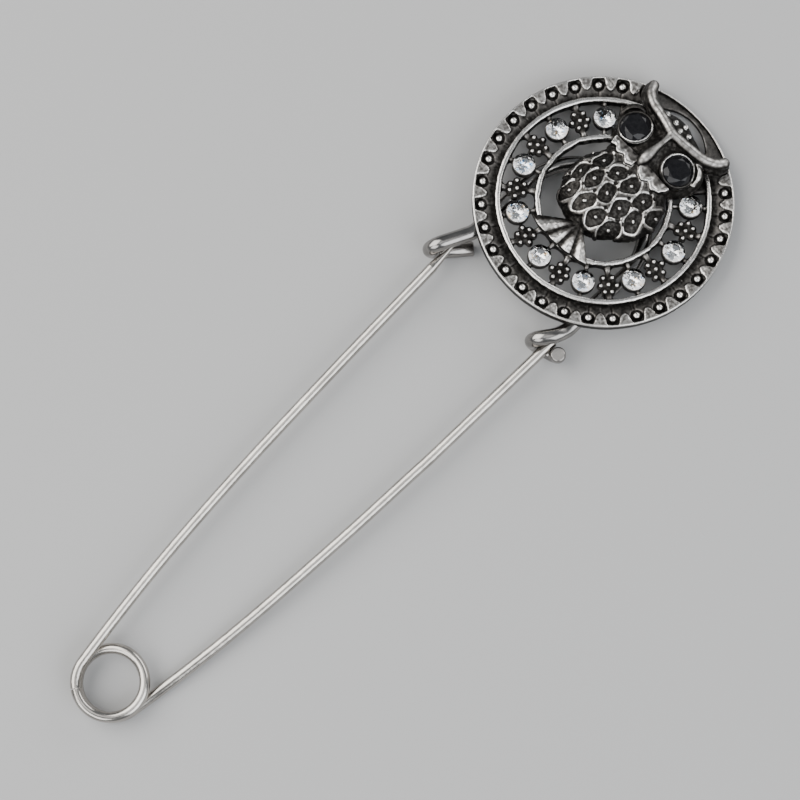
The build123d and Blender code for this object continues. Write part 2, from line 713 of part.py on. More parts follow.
def wrapped(field, low, cell):
    """Closed skin of triangles where a sampled field crosses zero, one point to each mixed cell."""
    field = without_checkerboards(field, cell / 10)
    inside = field < 0
    corners = [(i, j, k) for i in (0, 1) for j in (0, 1) for k in (0, 1)]
    shape = tuple(n - 1 for n in field.shape)
    total = np.zeros(shape + (3,))
    count = np.zeros(shape)

    def at_corner(values, corner):
        slices = tuple(slice(c, c + n) for c, n in zip(corner, shape))
        return values[slices]

    for corner in corners:
        for axis in range(3):
            if corner[axis] == 1:
                continue
            other = tuple(1 if a == axis else c for a, c in enumerate(corner))
            here = at_corner(field, corner)
            there = at_corner(field, other)
            crossed = (here < 0) != (there < 0)
            share = np.where(crossed, here / np.where(crossed, here - there, 1), 0)
            for a in range(3):
                step = share if a == axis else corner[a]
                total[..., a] += np.where(crossed, step, 0)
            count += crossed
    mixed = count > 0
    number = np.full(shape, -1)
    number[mixed] = np.arange(mixed.sum())
    index = np.argwhere(mixed)
    points = low + cell * (index + total[mixed] / count[mixed][:, None])
    triangles = []
    for axis in range(3):
        u, v = (axis + 1) % 3, (axis + 2) % 3
        near = np.take(inside, range(field.shape[axis] - 1), axis)
        far = np.take(inside, range(1, field.shape[axis]), axis)
        for edge in np.argwhere(near != far):
            if edge[u] == 0 or edge[v] == 0:
                continue
            if edge[u] >= shape[u] or edge[v] >= shape[v]:
                continue
            back_u, back_v = np.eye(3, dtype=int)[u], np.eye(3, dtype=int)[v]
            loop = [edge, edge - back_u, edge - back_u - back_v, edge - back_v]
            a, b, c, d = [number[tuple(cell_index)] for cell_index in loop]
            if not near[tuple(edge)]:
                a, b, c, d = d, c, b, a
            triangles += [(a, c, b), (a, d, c)]
    return points, triangles


def make_owl():
    """Owl casting in the disc's plane, with a flat back just above the rings."""
    margin = OWL_MARGIN_CELLS * OWL_CELL
    low = owl_point(-1, 0, 0) - margin
    high = owl_point(1, 1, 1) + margin
    axes = [np.arange(a, b, OWL_CELL) for a, b in zip(low, high)]
    grid = np.meshgrid(*axes, indexing="ij")
    points, triangles = wrapped(owl_field(grid), low, OWL_CELL)
    corners = [Vector(*point) for point in points]
    faces = [flat_face([corners[i] for i in triangle]) for triangle in triangles]
    return Solid(Shell(faces))


# Build the pieces and write them
disc_to_part = CASTING_PLANE.location
medallion = (disc_to_part * make_disc()).fuse(make_arch_wire())
export_step(medallion, "parts/medallion.step")

owl = disc_to_part * make_owl()
export_step(owl, "parts/owl.step")

eye = cut_stone(EYE_RADIUS, EYE_TABLE_RADIUS, EYE_CROWN, EYE_GIRDLE, EYE_PAVILION)
for eye_name, eye_side in (("eye_left", -1), ("eye_right", 1)):
    export_step(disc_to_part * (Pos(eye_place(eye_side)) * eye), f"parts/{eye_name}.step")

stone = cut_stone(STONE_RADIUS, STONE_TABLE_RADIUS, STONE_CROWN, STONE_GIRDLE, STONE_PAVILION)
for stone_number, stone_angle in enumerate(stone_angles(), 1):
    stone_place = polar(STONE_CIRCLE, stone_angle) * Pos(0, 0, STONE_GIRDLE_W)
    export_step(disc_to_part * (stone_place * stone), f"parts/stone_{stone_number:02d}.step")

export_step(make_fixed_arm(), "parts/fixed_arm.step")
export_step(make_pin_arm(), "parts/pin_arm.step")
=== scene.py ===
import bpy
import numpy as np
from math import asin, atan2, cos, degrees, hypot, pi, radians, sin, tan
from mathutils import Matrix, Quaternion, Vector


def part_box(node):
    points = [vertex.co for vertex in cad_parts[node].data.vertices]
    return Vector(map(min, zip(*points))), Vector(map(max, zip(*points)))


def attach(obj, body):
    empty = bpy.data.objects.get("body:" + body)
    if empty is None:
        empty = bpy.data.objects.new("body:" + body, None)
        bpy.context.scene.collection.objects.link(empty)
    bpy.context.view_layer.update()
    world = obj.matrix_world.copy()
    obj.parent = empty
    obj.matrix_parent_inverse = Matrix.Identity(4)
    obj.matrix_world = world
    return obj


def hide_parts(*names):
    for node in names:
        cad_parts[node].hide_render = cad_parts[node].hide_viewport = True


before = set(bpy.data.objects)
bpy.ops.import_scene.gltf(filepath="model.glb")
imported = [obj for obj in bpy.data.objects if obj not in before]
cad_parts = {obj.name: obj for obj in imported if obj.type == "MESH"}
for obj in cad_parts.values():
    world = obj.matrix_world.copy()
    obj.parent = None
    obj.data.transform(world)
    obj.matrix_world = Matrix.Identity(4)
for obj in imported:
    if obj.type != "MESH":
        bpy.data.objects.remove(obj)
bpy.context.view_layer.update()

# Sizes are millimetres and degrees, as in the solid model; metres come from this factor
MM = 0.001
FAR = 100.0
PIECE_GAP = 0.1

# Disc sizes; each ring has its radius, a seed and its unevenness, then its least wear, swing and seed
RIM_RADIUS = 17.9
RIM_WALL = 0.8
LIP_TOP = 1.8
RING_TOP = 2.05
RING_WIDTH = 0.75
PLATE_TOP = 1.4
PLATE_BACK = 0.5
OUTER_RING_RADIUS = 14.425
INNER_RING_RADIUS = 9.0
RINGS = ((OUTER_RING_RADIUS, 1.0, 0.05), (INNER_RING_RADIUS, 4.0, 0.09))
RING_WEAR = ((0.95, 0.15, 6.0), (0.92, 0.2, 8.0))
CASTING_TURN = 2.0
CRESCENT_RADIUS = 6.1
CRESCENT_RIM = 0.95
RING_ROUNDING = 0.24
LIP_WIDTH = 0.34
DISC_CELL = 0.128
CONVEX_REACH = 0.45

# Border beads, the round pits that they sit in and the tongues between them
BEAD_RADIUS = 0.54
BEAD_CIRCLE = 16.64
BEAD_COUNT = 28
BEAD_STEP = 11.38
BEAD_FOOT = 1.12
PIT_RADIUS = 0.84
PIT_DEPTH = 0.08
SLIT_DEPTH = 0.16
SLIT_HALF_WIDTH = 0.22
TONGUE_LENGTH = 1.95
TONGUE_HALF_WIDTH = 0.9
TONGUE_FLARE = 0.35
TONGUE_FLARE_LENGTH = 0.45
TONGUE_LOW = 1.48
TONGUE_RISE = 0.22
GROOVE_TOP = 0.98
GROOVE_RISE = 0.26

# Stones
STONE_RADIUS = 1.5
STONE_COUNT = 9
STONE_STEP = 33.5
STONE_CIRCLE = 11.8625
STONE_GIRDLE_W = 1.83
STONE_CROWN = 0.42
STONE_GIRDLE = 0.08
STONE_PAVILION = 1.12
COLLAR_WIDTH = 0.14
COLLAR_TOP = 1.76
STONE_NECK = 0.5
STONE_TABLE_SHARE = 0.56
STONE_TURN = 37.0
POCKET_GAP = 0.08
PRONG_RISE = 0.16

# Flower plates between the stones
FLOWER_NECK = 0.72
FLOWER_GRAIN = 0.28
FLOWER_CIRCLE = 1.12
FLOWER_PETAL = 0.5
FLOWER_HEART = 0.95
HIDDEN_SPAN = 74.0

# Arch wire under the disc and its hooks
ARCH_WIRE_RADIUS = 1.05
ARCH_HALF_WIDTH = 9.3
ARCH_TOP = 4.3
ARCH_FLAT = 0.2
ARCH_W = -0.4
HOOK_STATION = 21.2
LEFT_HOOK = (-11.985, 19.092)
RIGHT_HOOK = (6.886, 20.092)
HOOK_SPREAD = 1.915
HOOK_BEND = 1.762
TIP_BEND = 1.3
LEG_BEND = 3.0
TIP_CHAMFER = 0.2
LEFT_LEG_OUT = 0.2
RIGHT_LEG_OUT = 0.8
LEFT_TIP_LENGTH = 4.56
RIGHT_TIP_SHIFT = 1.14
RIGHT_KNEE_SHIFT = 2.565
RIGHT_TIP_TOP = 3.75
LOWER_LEG_Z = ARCH_WIRE_RADIUS
UPPER_LEG_Z = LOWER_LEG_Z + 2 * HOOK_SPREAD

# Owl
OWL_FOOT_Y = -9.6
OWL_SEAT = RING_TOP + PIECE_GAP
OWL_TOP = 7.2
OWL_FINE_CELL = 0.11
EYE_RADIUS = 2.1
EYE_SPREAD = 4.2
EYE_Y = 9.4
EYE_GIRDLE_W = 4.85
EYE_TILT = 11.0
EYE_TURN = 11.0
EYE_TABLE_SHARE = 0.68
EYE_CROWN = 0.6
EYE_GIRDLE = 0.12
EYE_PAVILION = 0.7
SOCKET_RADIUS = 2.55
SOCKET_DEPTH = 2.6
SOCKET_DROP = 0.12
CLEARED_RADIUS = 2.62
POCKET_RADIUS = 2.16
POCKET_DEPTH = 0.9
BEZEL_RADIUS = 2.27
BEZEL_HALF_WIDTH = 0.12
BEZEL_DEPTH = 1.0
BEZEL_RISE = 0.16
BEZEL_SLOPE = 0.10
BEZEL_REACH = 2.3

# Where the disc's own plane lies
hook_reach = RIM_RADIUS + HOOK_STATION
LEAN = degrees(asin(UPPER_LEG_Z / hypot(hook_reach, ARCH_W)) - atan2(ARCH_W, hook_reach))
front_reach = RIM_RADIUS * cos(radians(LEAN)) + LIP_TOP * sin(radians(LEAN))
DISC_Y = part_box("medallion")[1].y / MM - front_reach
disc_matrix = (
    Matrix.Translation(Vector((0, DISC_Y, RIM_RADIUS * sin(radians(LEAN)))) * MM)
    @ Matrix.Rotation(radians(-LEAN), 4, "X")
    @ Matrix.Scale(MM, 4)
)
casting_matrix = disc_matrix @ Matrix.Rotation(radians(-CASTING_TURN), 4, "Z")


# Meshes
def add_object(name, data):
    """Object in the scene that shows the given data."""
    thing = bpy.data.objects.new(name, data)
    bpy.context.scene.collection.objects.link(thing)
    return thing


def make_piece(name, points, faces, matrix, materials, face_materials=None, smooth=True, body="brooch"):
    """Mesh object from points given in millimetres in a plane of its own."""
    mesh = bpy.data.meshes.new(name)
    mesh.from_pydata([tuple(p) for p in points], [], [tuple(f) for f in faces])
    mesh.transform(matrix)
    mesh.update()
    piece = add_object(name, mesh)
    for material in materials:
        mesh.materials.append(material)
    if face_materials is not None:
        mesh.polygons.foreach_set("material_index", face_materials)
    mesh.polygons.foreach_set("use_smooth", [smooth] * len(mesh.polygons))
    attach(piece, body)
    return piece


def add_wear(piece, wear):
    """Wear at each point of a piece, which its material reads; on the owl it also holds painted highlight
    and painted shade.
    """
    layer = piece.data.attributes.new("wear", "FLOAT", "POINT")
    layer.data.foreach_set("value", np.asarray(wear, dtype=np.float32))


def without_checkerboards(field, nudge):
    """Sampled field in which no grid square has just two opposite corners inside."""
    found = True
    while found:
        found = False
        for u, v in ((0, 1), (1, 2), (0, 2)):
            squares = []
            for start_u, start_v in ((0, 0), (1, 1), (1, 0), (0, 1)):
                slices = [slice(None)] * 3
                slices[u] = slice(start_u, field.shape[u] - 1 + start_u)
                slices[v] = slice(start_v, field.shape[v] - 1 + start_v)
                squares.append(field[tuple(slices)])
            for first, second, third, fourth in (squares, squares[2:] + squares[:2]):
                crossed = (first < 0) & (second < 0) & (third >= 0) & (fourth >= 0)
                third[crossed & (third <= fourth)] = -nudge
                fourth[crossed & (third > fourth)] = -nudge
                found = found or bool(crossed.any())
    return field


def largest_part(points, quads):
    """Largest connected skin of a quad mesh, without the specks that a thin edge can leave beside it."""
    label = np.arange(len(points))
    settled = False
    while not settled:
        linked = label.copy()
        lowest = label[quads].min(axis=1)
        for corner in range(4):
            np.minimum.at(linked, quads[:, corner], lowest)
        linked = linked[linked]
        settled = np.array_equal(linked, label)
        label = linked
    part = label[quads[:, 0]]
    quads = quads[part == np.bincount(part).argmax()]
    used = np.zeros(len(points), bool)
    used[quads] = True
    number = np.cumsum(used) - 1
    return points[used], number[quads]


def wrapped(field, low, cell):
    """Closed skin of quads where a sampled field crosses zero, one point to each mixed cell."""
    field = without_checkerboards(field, cell / 10)
    inside = field < 0
    shape = tuple(n - 1 for n in field.shape)
    total = np.zeros(shape + (3,), np.float32)
    count = np.zeros(shape, np.float32)
    corners = [(i, j, k) for i in (0, 1) for j in (0, 1) for k in (0, 1)]
    for corner in corners:
        here = field[tuple(slice(c, c + n) for c, n in zip(corner, shape))]
        for axis in range(3):
            if corner[axis]:
                continue
            other = [c + (a == axis) for a, c in enumerate(corner)]
            there = field[tuple(slice(c, c + n) for c, n in zip(other, shape))]
            crossed = (here < 0) != (there < 0)
            share = here[crossed] / (here[crossed] - there[crossed])
            for a in range(3):
                total[..., a][crossed] += share if a == axis else corner[a]
            count += crossed
    mixed = count > 0
    number = np.full(shape, -1)
    number[mixed] = np.arange(mixed.sum())
    points = low + cell * (np.argwhere(mixed) + total[mixed] / count[mixed][:, None])
    quads = []
    for axis in range(3):
        u, v = (axis + 1) % 3, (axis + 2) % 3
        near = np.take(inside, range(field.shape[axis] - 1), axis)
        far = np.take(inside, range(1, field.shape[axis]), axis)
        edges = np.argwhere(near != far)
        kept = (edges[:, u] > 0) & (edges[:, v] > 0)
        kept &= (edges[:, u] < shape[u]) & (edges[:, v] < shape[v])
        edges = edges[kept]
        back_u, back_v = np.eye(3, dtype=int)[u], np.eye(3, dtype=int)[v]
        loop = [edges, edges - back_v, edges - back_u - back_v, edges - back_u]
        quad = np.stack([number[tuple(cells.T)] for cells in loop], axis=1)
        turned = near[tuple(edges.T)]
        quad[turned] = quad[turned][:, ::-1]
        quads.append(quad)
    points, quads = largest_part(points, np.concatenate(quads))
    return evened(points, quads), quads


def skin(field, near, far):
    """1 at a surface, falling to 0 between two distances from it."""
    return 1 - step(np.abs(field), near, far)


def neighbour_mean(values, faces):
    """Mean of each point's neighbours along the edges of quads."""
    edges = np.concatenate([faces[:, [0, 1]], faces[:, [1, 2]], faces[:, [2, 3]], faces[:, [3, 0]]])
    edges = np.concatenate([edges, edges[:, ::-1]])
    count = np.maximum(np.bincount(edges[:, 0], minlength=len(values)), 1)
    columns = [
        np.bincount(edges[:, 0], weights=values[edges[:, 1], a], minlength=len(values)) / count
        for a in range(values.shape[1])
    ]
    return np.stack(columns, axis=1)


def evened(points, quads):
    """Points eased in and back out again, which takes the grid's steps out of edges and keeps the size."""
    for share in (0.5, -0.52):
        points = points + share * (neighbour_mean(points, quads) - points)
    return points


def point_normals(points, quads):
    """Unit normals at the points of a quad mesh."""
    across = points[quads[:, 2]] - points[quads[:, 0]]
    along = points[quads[:, 3]] - points[quads[:, 1]]
    flat = np.cross(across, along)
    normals = np.zeros_like(points)
    for corner in range(4):
        for a in range(3):
            normals[:, a] += np.bincount(quads[:, corner], weights=flat[:, a], minlength=len(points))
    return normals / np.maximum(np.linalg.norm(normals, axis=1, keepdims=True), 1e-9)


def convexity(points, quads, rounds):
    """How far each point stands out from its surroundings when they are smoothed some rounds."""
    smooth = points
    for _ in range(rounds):
        smooth = neighbour_mean(smooth, quads)
    return np.einsum("ij,ij->i", points - smooth, point_normals(points, quads))


# Fields
def blended(first, second, reach):
    """Union of two fields with a soft valley between them."""
    mix = np.clip(0.5 + 0.5 * (second - first) / reach, 0, 1)
    return second + (first - second) * mix - reach * mix * (1 - mix)


def distance(grid, spot):
    """Distance from one spot."""
    return sum((axis - s) ** 2 for axis, s in zip(grid, spot)) ** 0.5


def lump(grid, centre, sizes):
    """Field of an ellipsoid."""
    near = sum(((axis - c) / s) ** 2 for axis, c, s in zip(grid, centre, sizes)) ** 0.5
    steep = sum(((axis - c) / s**2) ** 2 for axis, c, s in zip(grid, centre, sizes)) ** 0.5
    return near * (near - 1) / np.maximum(steep, 1e-6)


def ridge(grid, rows, side=1):
    """Field of a tapering round ridge along rows of x, y, w and radius."""
    field = np.full(grid[0].shape, FAR, np.float32)
    for start, end in zip(rows, rows[1:]):
        origin = np.array([side * start[0], start[1], start[2]])
        run = np.array([side * end[0], end[1], end[2]]) - origin
        offset = [axis - s for axis, s in zip(grid, origin)]
        share = np.clip(sum(o * r for o, r in zip(offset, run)) / (run @ run), 0, 1)
        away = sum((o - share * r) ** 2 for o, r in zip(offset, run)) ** 0.5
        field = np.minimum(field, away - (start[3] + (end[3] - start[3]) * share))
    return field


def curved_rows(rows, parts):
    """Rows eased into a smooth run through the given ones."""
    rows = np.array(rows, float)
    padded = np.vstack([2 * rows[0] - rows[1], rows, 2 * rows[-1] - rows[-2]])
    result = []
    for i in range(1, len(padded) - 2):
        before, here, after, later = padded[i - 1:i + 3]
        for t in np.arange(parts) / parts:
            value = 2 * here + (after - before) * t
            value = value + (2 * before - 5 * here + 4 * after - later) * t**2
            value = value + (3 * here - before - 3 * after + later) * t**3
            result.append(value / 2)
    result.append(rows[-1])
    return np.array(result)


def step(values, low, high):
    """Smooth rise from 0 at low to 1 at high."""
    share = np.clip((values - low) / (high - low), 0, 1)
    return share * share * (3 - 2 * share)


# Disc: two closed relief pieces, from maps of outline, height and wear over the disc's plane
def ripple(angle, seed, size=1.0):
    """Small unevenness along a ring, between about -1 and 1."""
    turn = np.radians(angle)
    waves = [(5, 0.3), (9, 0.3), (16, 0.25), (27, 0.2), (43, 0.15), (71, 0.12)]
    phases = [seed * (i + 1) * 1.7 for i in range(len(waves))]
    return size * sum(share * np.sin(count * turn + phase) for (count, share), phase in zip(waves, phases))


def grainy(x, y, size, seed=0.0):
    """Small unevenness over a surface, between about -1 and 1, with lumps of the given size."""
    u = (x * 0.83 + y * 0.56) * 2 * pi / size + seed
    v = (y * 0.83 - x * 0.56) * 2 * pi / size + 2.1 * seed
    first = np.sin(u + 1.7 * np.sin(0.61 * v)) * np.sin(v + 1.3 * np.sin(0.57 * u))
    second = np.sin(1.9 * v + 1.1 * np.sin(1.3 * u)) * np.sin(1.7 * u + seed)
    return 0.65 * first + 0.35 * second


def around_foot(angle):
    """Angles counted from the foot of the disc, between -180 and 180."""
    return (angle - 270 + 180) % 360 - 180


def nearest_repeat(radius, angle, step_angle, count):
    """Distance across and along the radius through the nearest of a row of features, and its number."""
    middle = (count - 1) / 2
    turn = around_foot(angle)
    index = np.clip(np.round(turn / step_angle + middle), 0, count - 1)
    away = np.radians(turn - (index - middle) * step_angle)
    return radius * np.sin(away), radius * np.cos(away), index


def border_maps(x, y, radius, angle):
    """Outline, height and wear of the beaded border."""
    across, along, _ = nearest_repeat(radius, angle, BEAD_STEP, BEAD_COUNT)
    bead = np.hypot(across, along - BEAD_CIRCLE)
    tongue_across, tongue_along, number = nearest_repeat(radius, angle, BEAD_STEP, BEAD_COUNT - 1)
    depth = RIM_RADIUS - tongue_along
    length = TONGUE_LENGTH + 0.09 * np.sin(number * 2.3)
    half_width = TONGUE_HALF_WIDTH * np.sqrt(np.clip(1 - np.clip(depth / length, 0, 1) ** 2.2, 0, 1))
    half_width = half_width + TONGUE_FLARE * np.exp(-((depth / TONGUE_FLARE_LENGTH) ** 2))
    within = np.minimum(half_width - np.abs(tongue_across), bead - PIT_RADIUS - 0.02)
    within = within + 0.035 * grainy(x, y, 0.9, 1.0)
    tongue = step(within, -0.05, 0.14)
    slope = GROOVE_TOP + GROOVE_RISE * step(radius, OUTER_RING_RADIUS + 0.9, OUTER_RING_RADIUS + 2.0)
    crest = TONGUE_LOW + TONGUE_RISE * step(radius, BEAD_CIRCLE - 0.7, RIM_RADIUS - 0.5)
    height = slope + (crest - slope + 0.03 * grainy(x, y, 0.7)) * tongue
    slit = (1 - step(np.abs(across), 0.0, SLIT_HALF_WIDTH)) * step(BEAD_CIRCLE - along, 0.4, 0.9)
    height = height - SLIT_DEPTH * slit
    pit = 1 - step(bead, PIT_RADIUS - 0.14, PIT_RADIUS + 0.06)
    height = height - (height - GROOVE_TOP + PIT_DEPTH) * pit
    lip_foot = RIM_RADIUS - LIP_WIDTH + 0.05 * ripple(angle, 2.0)
    lip = step(radius, lip_foot - 0.1, lip_foot + 0.1)
    lip_top = LIP_TOP - 0.06 - 0.12 * step(radius, RIM_RADIUS - 0.15, RIM_RADIUS)
    height = height + (lip_top - height) * lip
    dome = np.sqrt(np.clip(BEAD_RADIUS**2 - bead**2, 0, None))
    height = np.where(bead < BEAD_RADIUS, np.maximum(height, BEAD_FOOT + dome), height)
    outline = np.maximum(radius - RIM_RADIUS + 0.03 - 0.02 * ripple(angle, 5.0), OUTER_RING_RADIUS - radius)
    cut = np.hypot(x, y - (RIM_RADIUS - CRESCENT_RIM - CRESCENT_RADIUS)) - CRESCENT_RADIUS
    cut = np.maximum(cut, OUTER_RING_RADIUS + RING_WIDTH / 2 + 0.2 - radius)
    outline = np.maximum(outline, -cut)
    wear = 0.3 * (1 - pit) * step(radius, OUTER_RING_RADIUS + 0.5, OUTER_RING_RADIUS + 1.4)
    wear = wear * (0.8 + 0.3 * grainy(x, y, 2.3, 5.0)) + 0.06
    mottled = 0.52 + 0.24 * grainy(x, y, 1.1, 3.0) + 0.38 * (1 - step(within, 0.02, 0.2))
    wear = np.maximum(wear, mottled * tongue * (1 - pit))
    lip_edge = step(radius, RIM_RADIUS - 0.32, RIM_RADIUS - 0.14)
    wear = np.maximum(wear, lip * (0.3 + 0.5 * lip_edge) * (1 + 0.25 * ripple(angle, 9.0)))
    wear = np.maximum(wear, 1.1 * (1 - step(bead, BEAD_RADIUS - 0.16, BEAD_RADIUS)))
    return outline, height, wear


def border_back(radius):
    """Underside of the border: the plate's back, and the rim's wall down to the disc's plane."""
    return PLATE_BACK * (1 - step(radius, RIM_RADIUS - RIM_WALL - 0.06, RIM_RADIUS - RIM_WALL + 0.06))


def ring_profile(radius, angle, middle, seed, uneven):
    """Distance across a hand-finished ring as a share of its half width, that width, and its height."""
    wander = uneven * ripple(angle, seed)
    half = RING_WIDTH / 2 + 0.03 + uneven * ripple(angle, seed + 3.1)
    share = (radius - middle - wander) / half
    crest = RING_TOP - 0.015 - 0.05 * np.clip(ripple(angle, seed + 7.7), 0, 1)
    crest = crest - RING_ROUNDING * np.clip(np.abs(share), 0, 1) ** 2.6
    return share, half, crest


def flower_maps(x, y):
    """Distance outside the nearest flower plate and from the nearest grain."""
    web = np.full(x.shape, FAR)
    grain = np.full(x.shape, FAR)
    for i in range(STONE_COUNT - 1):
        angle = radians(270 + STONE_STEP * (i - (STONE_COUNT - 2) / 2))
        along = x * cos(angle) + y * sin(angle) - STONE_CIRCLE
        across = y * cos(angle) - x * sin(angle)
        web = np.minimum(web, np.hypot(along, across) - FLOWER_HEART)
        grain = np.minimum(grain, np.hypot(along, across))
        for k in range(6):
            turn = radians(30 + 60 * k + 9 * sin(2.1 * i + k))
            spot = FLOWER_CIRCLE * (1 + 0.06 * sin(5.0 * i + 3.0 * k))
            from_grain = np.hypot(along - spot * cos(turn), across - spot * sin(turn))
            web = blended(web, from_grain - FLOWER_PETAL, 0.25)
            grain = np.minimum(grain, from_grain)
    return web, grain


def face_maps(x, y, radius, angle):
    """Outline, height and wear of the rings and the pierced plate between them."""
    rings = [ring_profile(radius, angle, *ring) for ring in RINGS]
    outline = np.minimum(*[(np.abs(share) - 1) * half for share, half, _ in rings])
    between = np.maximum(radius - OUTER_RING_RADIUS, INNER_RING_RADIUS - radius)
    across, along, _ = nearest_repeat(radius, angle, STONE_STEP, STONE_COUNT)
    stone = np.hypot(across, along - STONE_CIRCLE)
    stone_neck = np.maximum(np.abs(across) - STONE_NECK / 2, between)
    flower_across, _, _ = nearest_repeat(radius, angle, STONE_STEP, STONE_COUNT - 1)
    flower_neck = np.maximum(np.abs(flower_across) - FLOWER_NECK / 2, between)
    web, grain = flower_maps(x, y)
    outline = blended(outline, stone_neck, 0.7)
    outline = blended(outline, flower_neck, 0.8)
    outline = blended(outline, stone - STONE_RADIUS - COLLAR_WIDTH, 0.25)
    outline = blended(outline, web, 0.3)
    hidden = np.radians(np.abs(around_foot(angle - 180)) - HIDDEN_SPAN / 2) * radius
    outline = np.minimum(outline, np.maximum(hidden, between))
    height = PLATE_TOP - 0.05 + 0.03 * grainy(x, y, 0.9) - 0.12 * (1 - step(-outline, 0.0, 0.25))
    from_neck = np.minimum(np.abs(across) - STONE_NECK / 2, np.abs(flower_across) - FLOWER_NECK / 2)
    prong = (1 - step(from_neck, -0.1, 0.1)) * step(np.abs(radius - STONE_CIRCLE), 1.4, 2.0)
    height = height + PRONG_RISE * prong
    collar = 1 - step(stone, STONE_RADIUS + COLLAR_WIDTH - 0.06, STONE_RADIUS + COLLAR_WIDTH + 0.06)
    height = height + (COLLAR_TOP - height) * collar
    pocket = STONE_GIRDLE_W - STONE_PAVILION * (1 - stone / STONE_RADIUS) - POCKET_GAP
    height = np.where(stone < STONE_RADIUS, np.minimum(height, pocket), height)
    dome = np.sqrt(np.clip(FLOWER_GRAIN**2 - grain**2, 0, None))
    height = np.where(grain < FLOWER_GRAIN, np.maximum(height, PLATE_TOP - 0.02 + dome), height)
    for share, _, crest in rings:
        height = height + (crest - height) * skin(share, 0.92, 1.0)
    wear = 0.10 + 0.32 * prong
    wear = np.maximum(wear, 0.2 * collar)
    wear = np.maximum(wear, 1.05 * (1 - step(grain, FLOWER_GRAIN - 0.14, FLOWER_GRAIN)))
    for (share, _, _), (least, swing, seed) in zip(rings, RING_WEAR):
        band = skin(share, 0.92, 1.0) * skin(share, 0.62, 0.95)
        wear = np.maximum(wear, band * (least + swing * ripple(angle, seed)))
    return outline, height, wear


def face_back(radius):
    """Underside of the pierced plate."""
    return np.full(radius.shape, PLATE_BACK)


def make_relief(name, maps, back, material):
    """Closed relief piece of the disc, with its wear as a value at each point."""
    cell = DISC_CELL * 1
    reach = RIM_RADIUS + 4 * cell
    low = np.array([-reach, -reach, -3 * cell])
    high = (reach, reach, RING_TOP + 3 * cell)
    axes = [np.arange(a, b, cell, dtype=np.float32) for a, b in zip(low, high)]
    x, y = np.meshgrid(axes[0], axes[1], indexing="ij")
    radius = np.hypot(x, y)
    outline, height, wear = maps(x, y, radius, np.degrees(np.arctan2(y, x)))
    bottom = back(radius)
    w = axes[2][None, None, :]
    field = np.maximum(outline[:, :, None], 0.75 * (w - height[:, :, None]))
    field = np.maximum(field, 0.75 * (bottom[:, :, None] - w)).astype(np.float32)
    points, quads = wrapped(field, low, cell)
    place = (points[:, :2] - low[:2]) / cell
    near = np.clip(np.round(place).astype(int), 0, np.array(height.shape) - 1)
    top = height[near[:, 0], near[:, 1]]
    worn = wear[near[:, 0], near[:, 1]] * step(points[:, 2] - top, -0.4, -0.12)
    under = step(bottom[near[:, 0], near[:, 1]] - points[:, 2], -0.25, -0.05)
    worn = np.maximum(worn, 0.45 * under)
    worn += 1.6 * convexity(points, quads, round(CONVEX_REACH / cell)) / CONVEX_REACH
    piece = make_piece(name, points, quads.tolist(), casting_matrix, [material])
    add_wear(piece, worn)
    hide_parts("medallion")


# Arch wire
def bent_route(points, bends):
    """Points along straight stretches with a round bend at each inner point."""
    route = [points[0]]
    for corner, before_point, after_point, bend in zip(points[1:-1], points, points[2:], bends):
        before = (corner - before_point).normalized()
        after = (after_point - corner).normalized()
        turn = before.angle(after)
        start = corner - before * bend * tan(turn / 2)
        axis = before.cross(after).normalized()
        centre = start + axis.cross(before) * bend
        parts = max(2, round(degrees(turn) / 6))
        for i in range(parts + 1):
            route.append(centre + Quaternion(axis, turn * i / parts) @ (start - centre))
    route.append(points[-1])
    return route


def tube(route, radii, sides):
    """Points and faces of a round tube along a route, closed at both ends."""
    tangents = []
    for i in range(len(route)):
        before = route[max(i - 1, 0)]
        after = route[min(i + 1, len(route) - 1)]
        tangents.append((after - before).normalized())
    side = tangents[0].orthogonal().normalized()
    points = []
    for i, (middle, radius) in enumerate(zip(route, radii)):
        if i:
            side = tangents[i - 1].rotation_difference(tangents[i]) @ side
        side = (side - tangents[i] * side.dot(tangents[i])).normalized()
        across = tangents[i].cross(side)
        for k in range(sides):
            turn = 2 * pi * k / sides
            points.append(middle + (side * cos(turn) + across * sin(turn)) * radius)
    faces = []
    for i in range(len(route) - 1):
        for k in range(sides):
            following = (k + 1) % sides
            a, b = i * sides + k, i * sides + following
            faces.append((a, b, b + sides, a + sides))
    faces.append(tuple(reversed(range(sides))))
    faces.append(tuple(range((len(route) - 1) * sides, len(route) * sides)))
    return points, faces


def on_disc(x, y, w):
    """Point of the disc's own plane, in millimetres of the part's frame."""
    return (disc_matrix @ Vector((x, y, w))) / MM


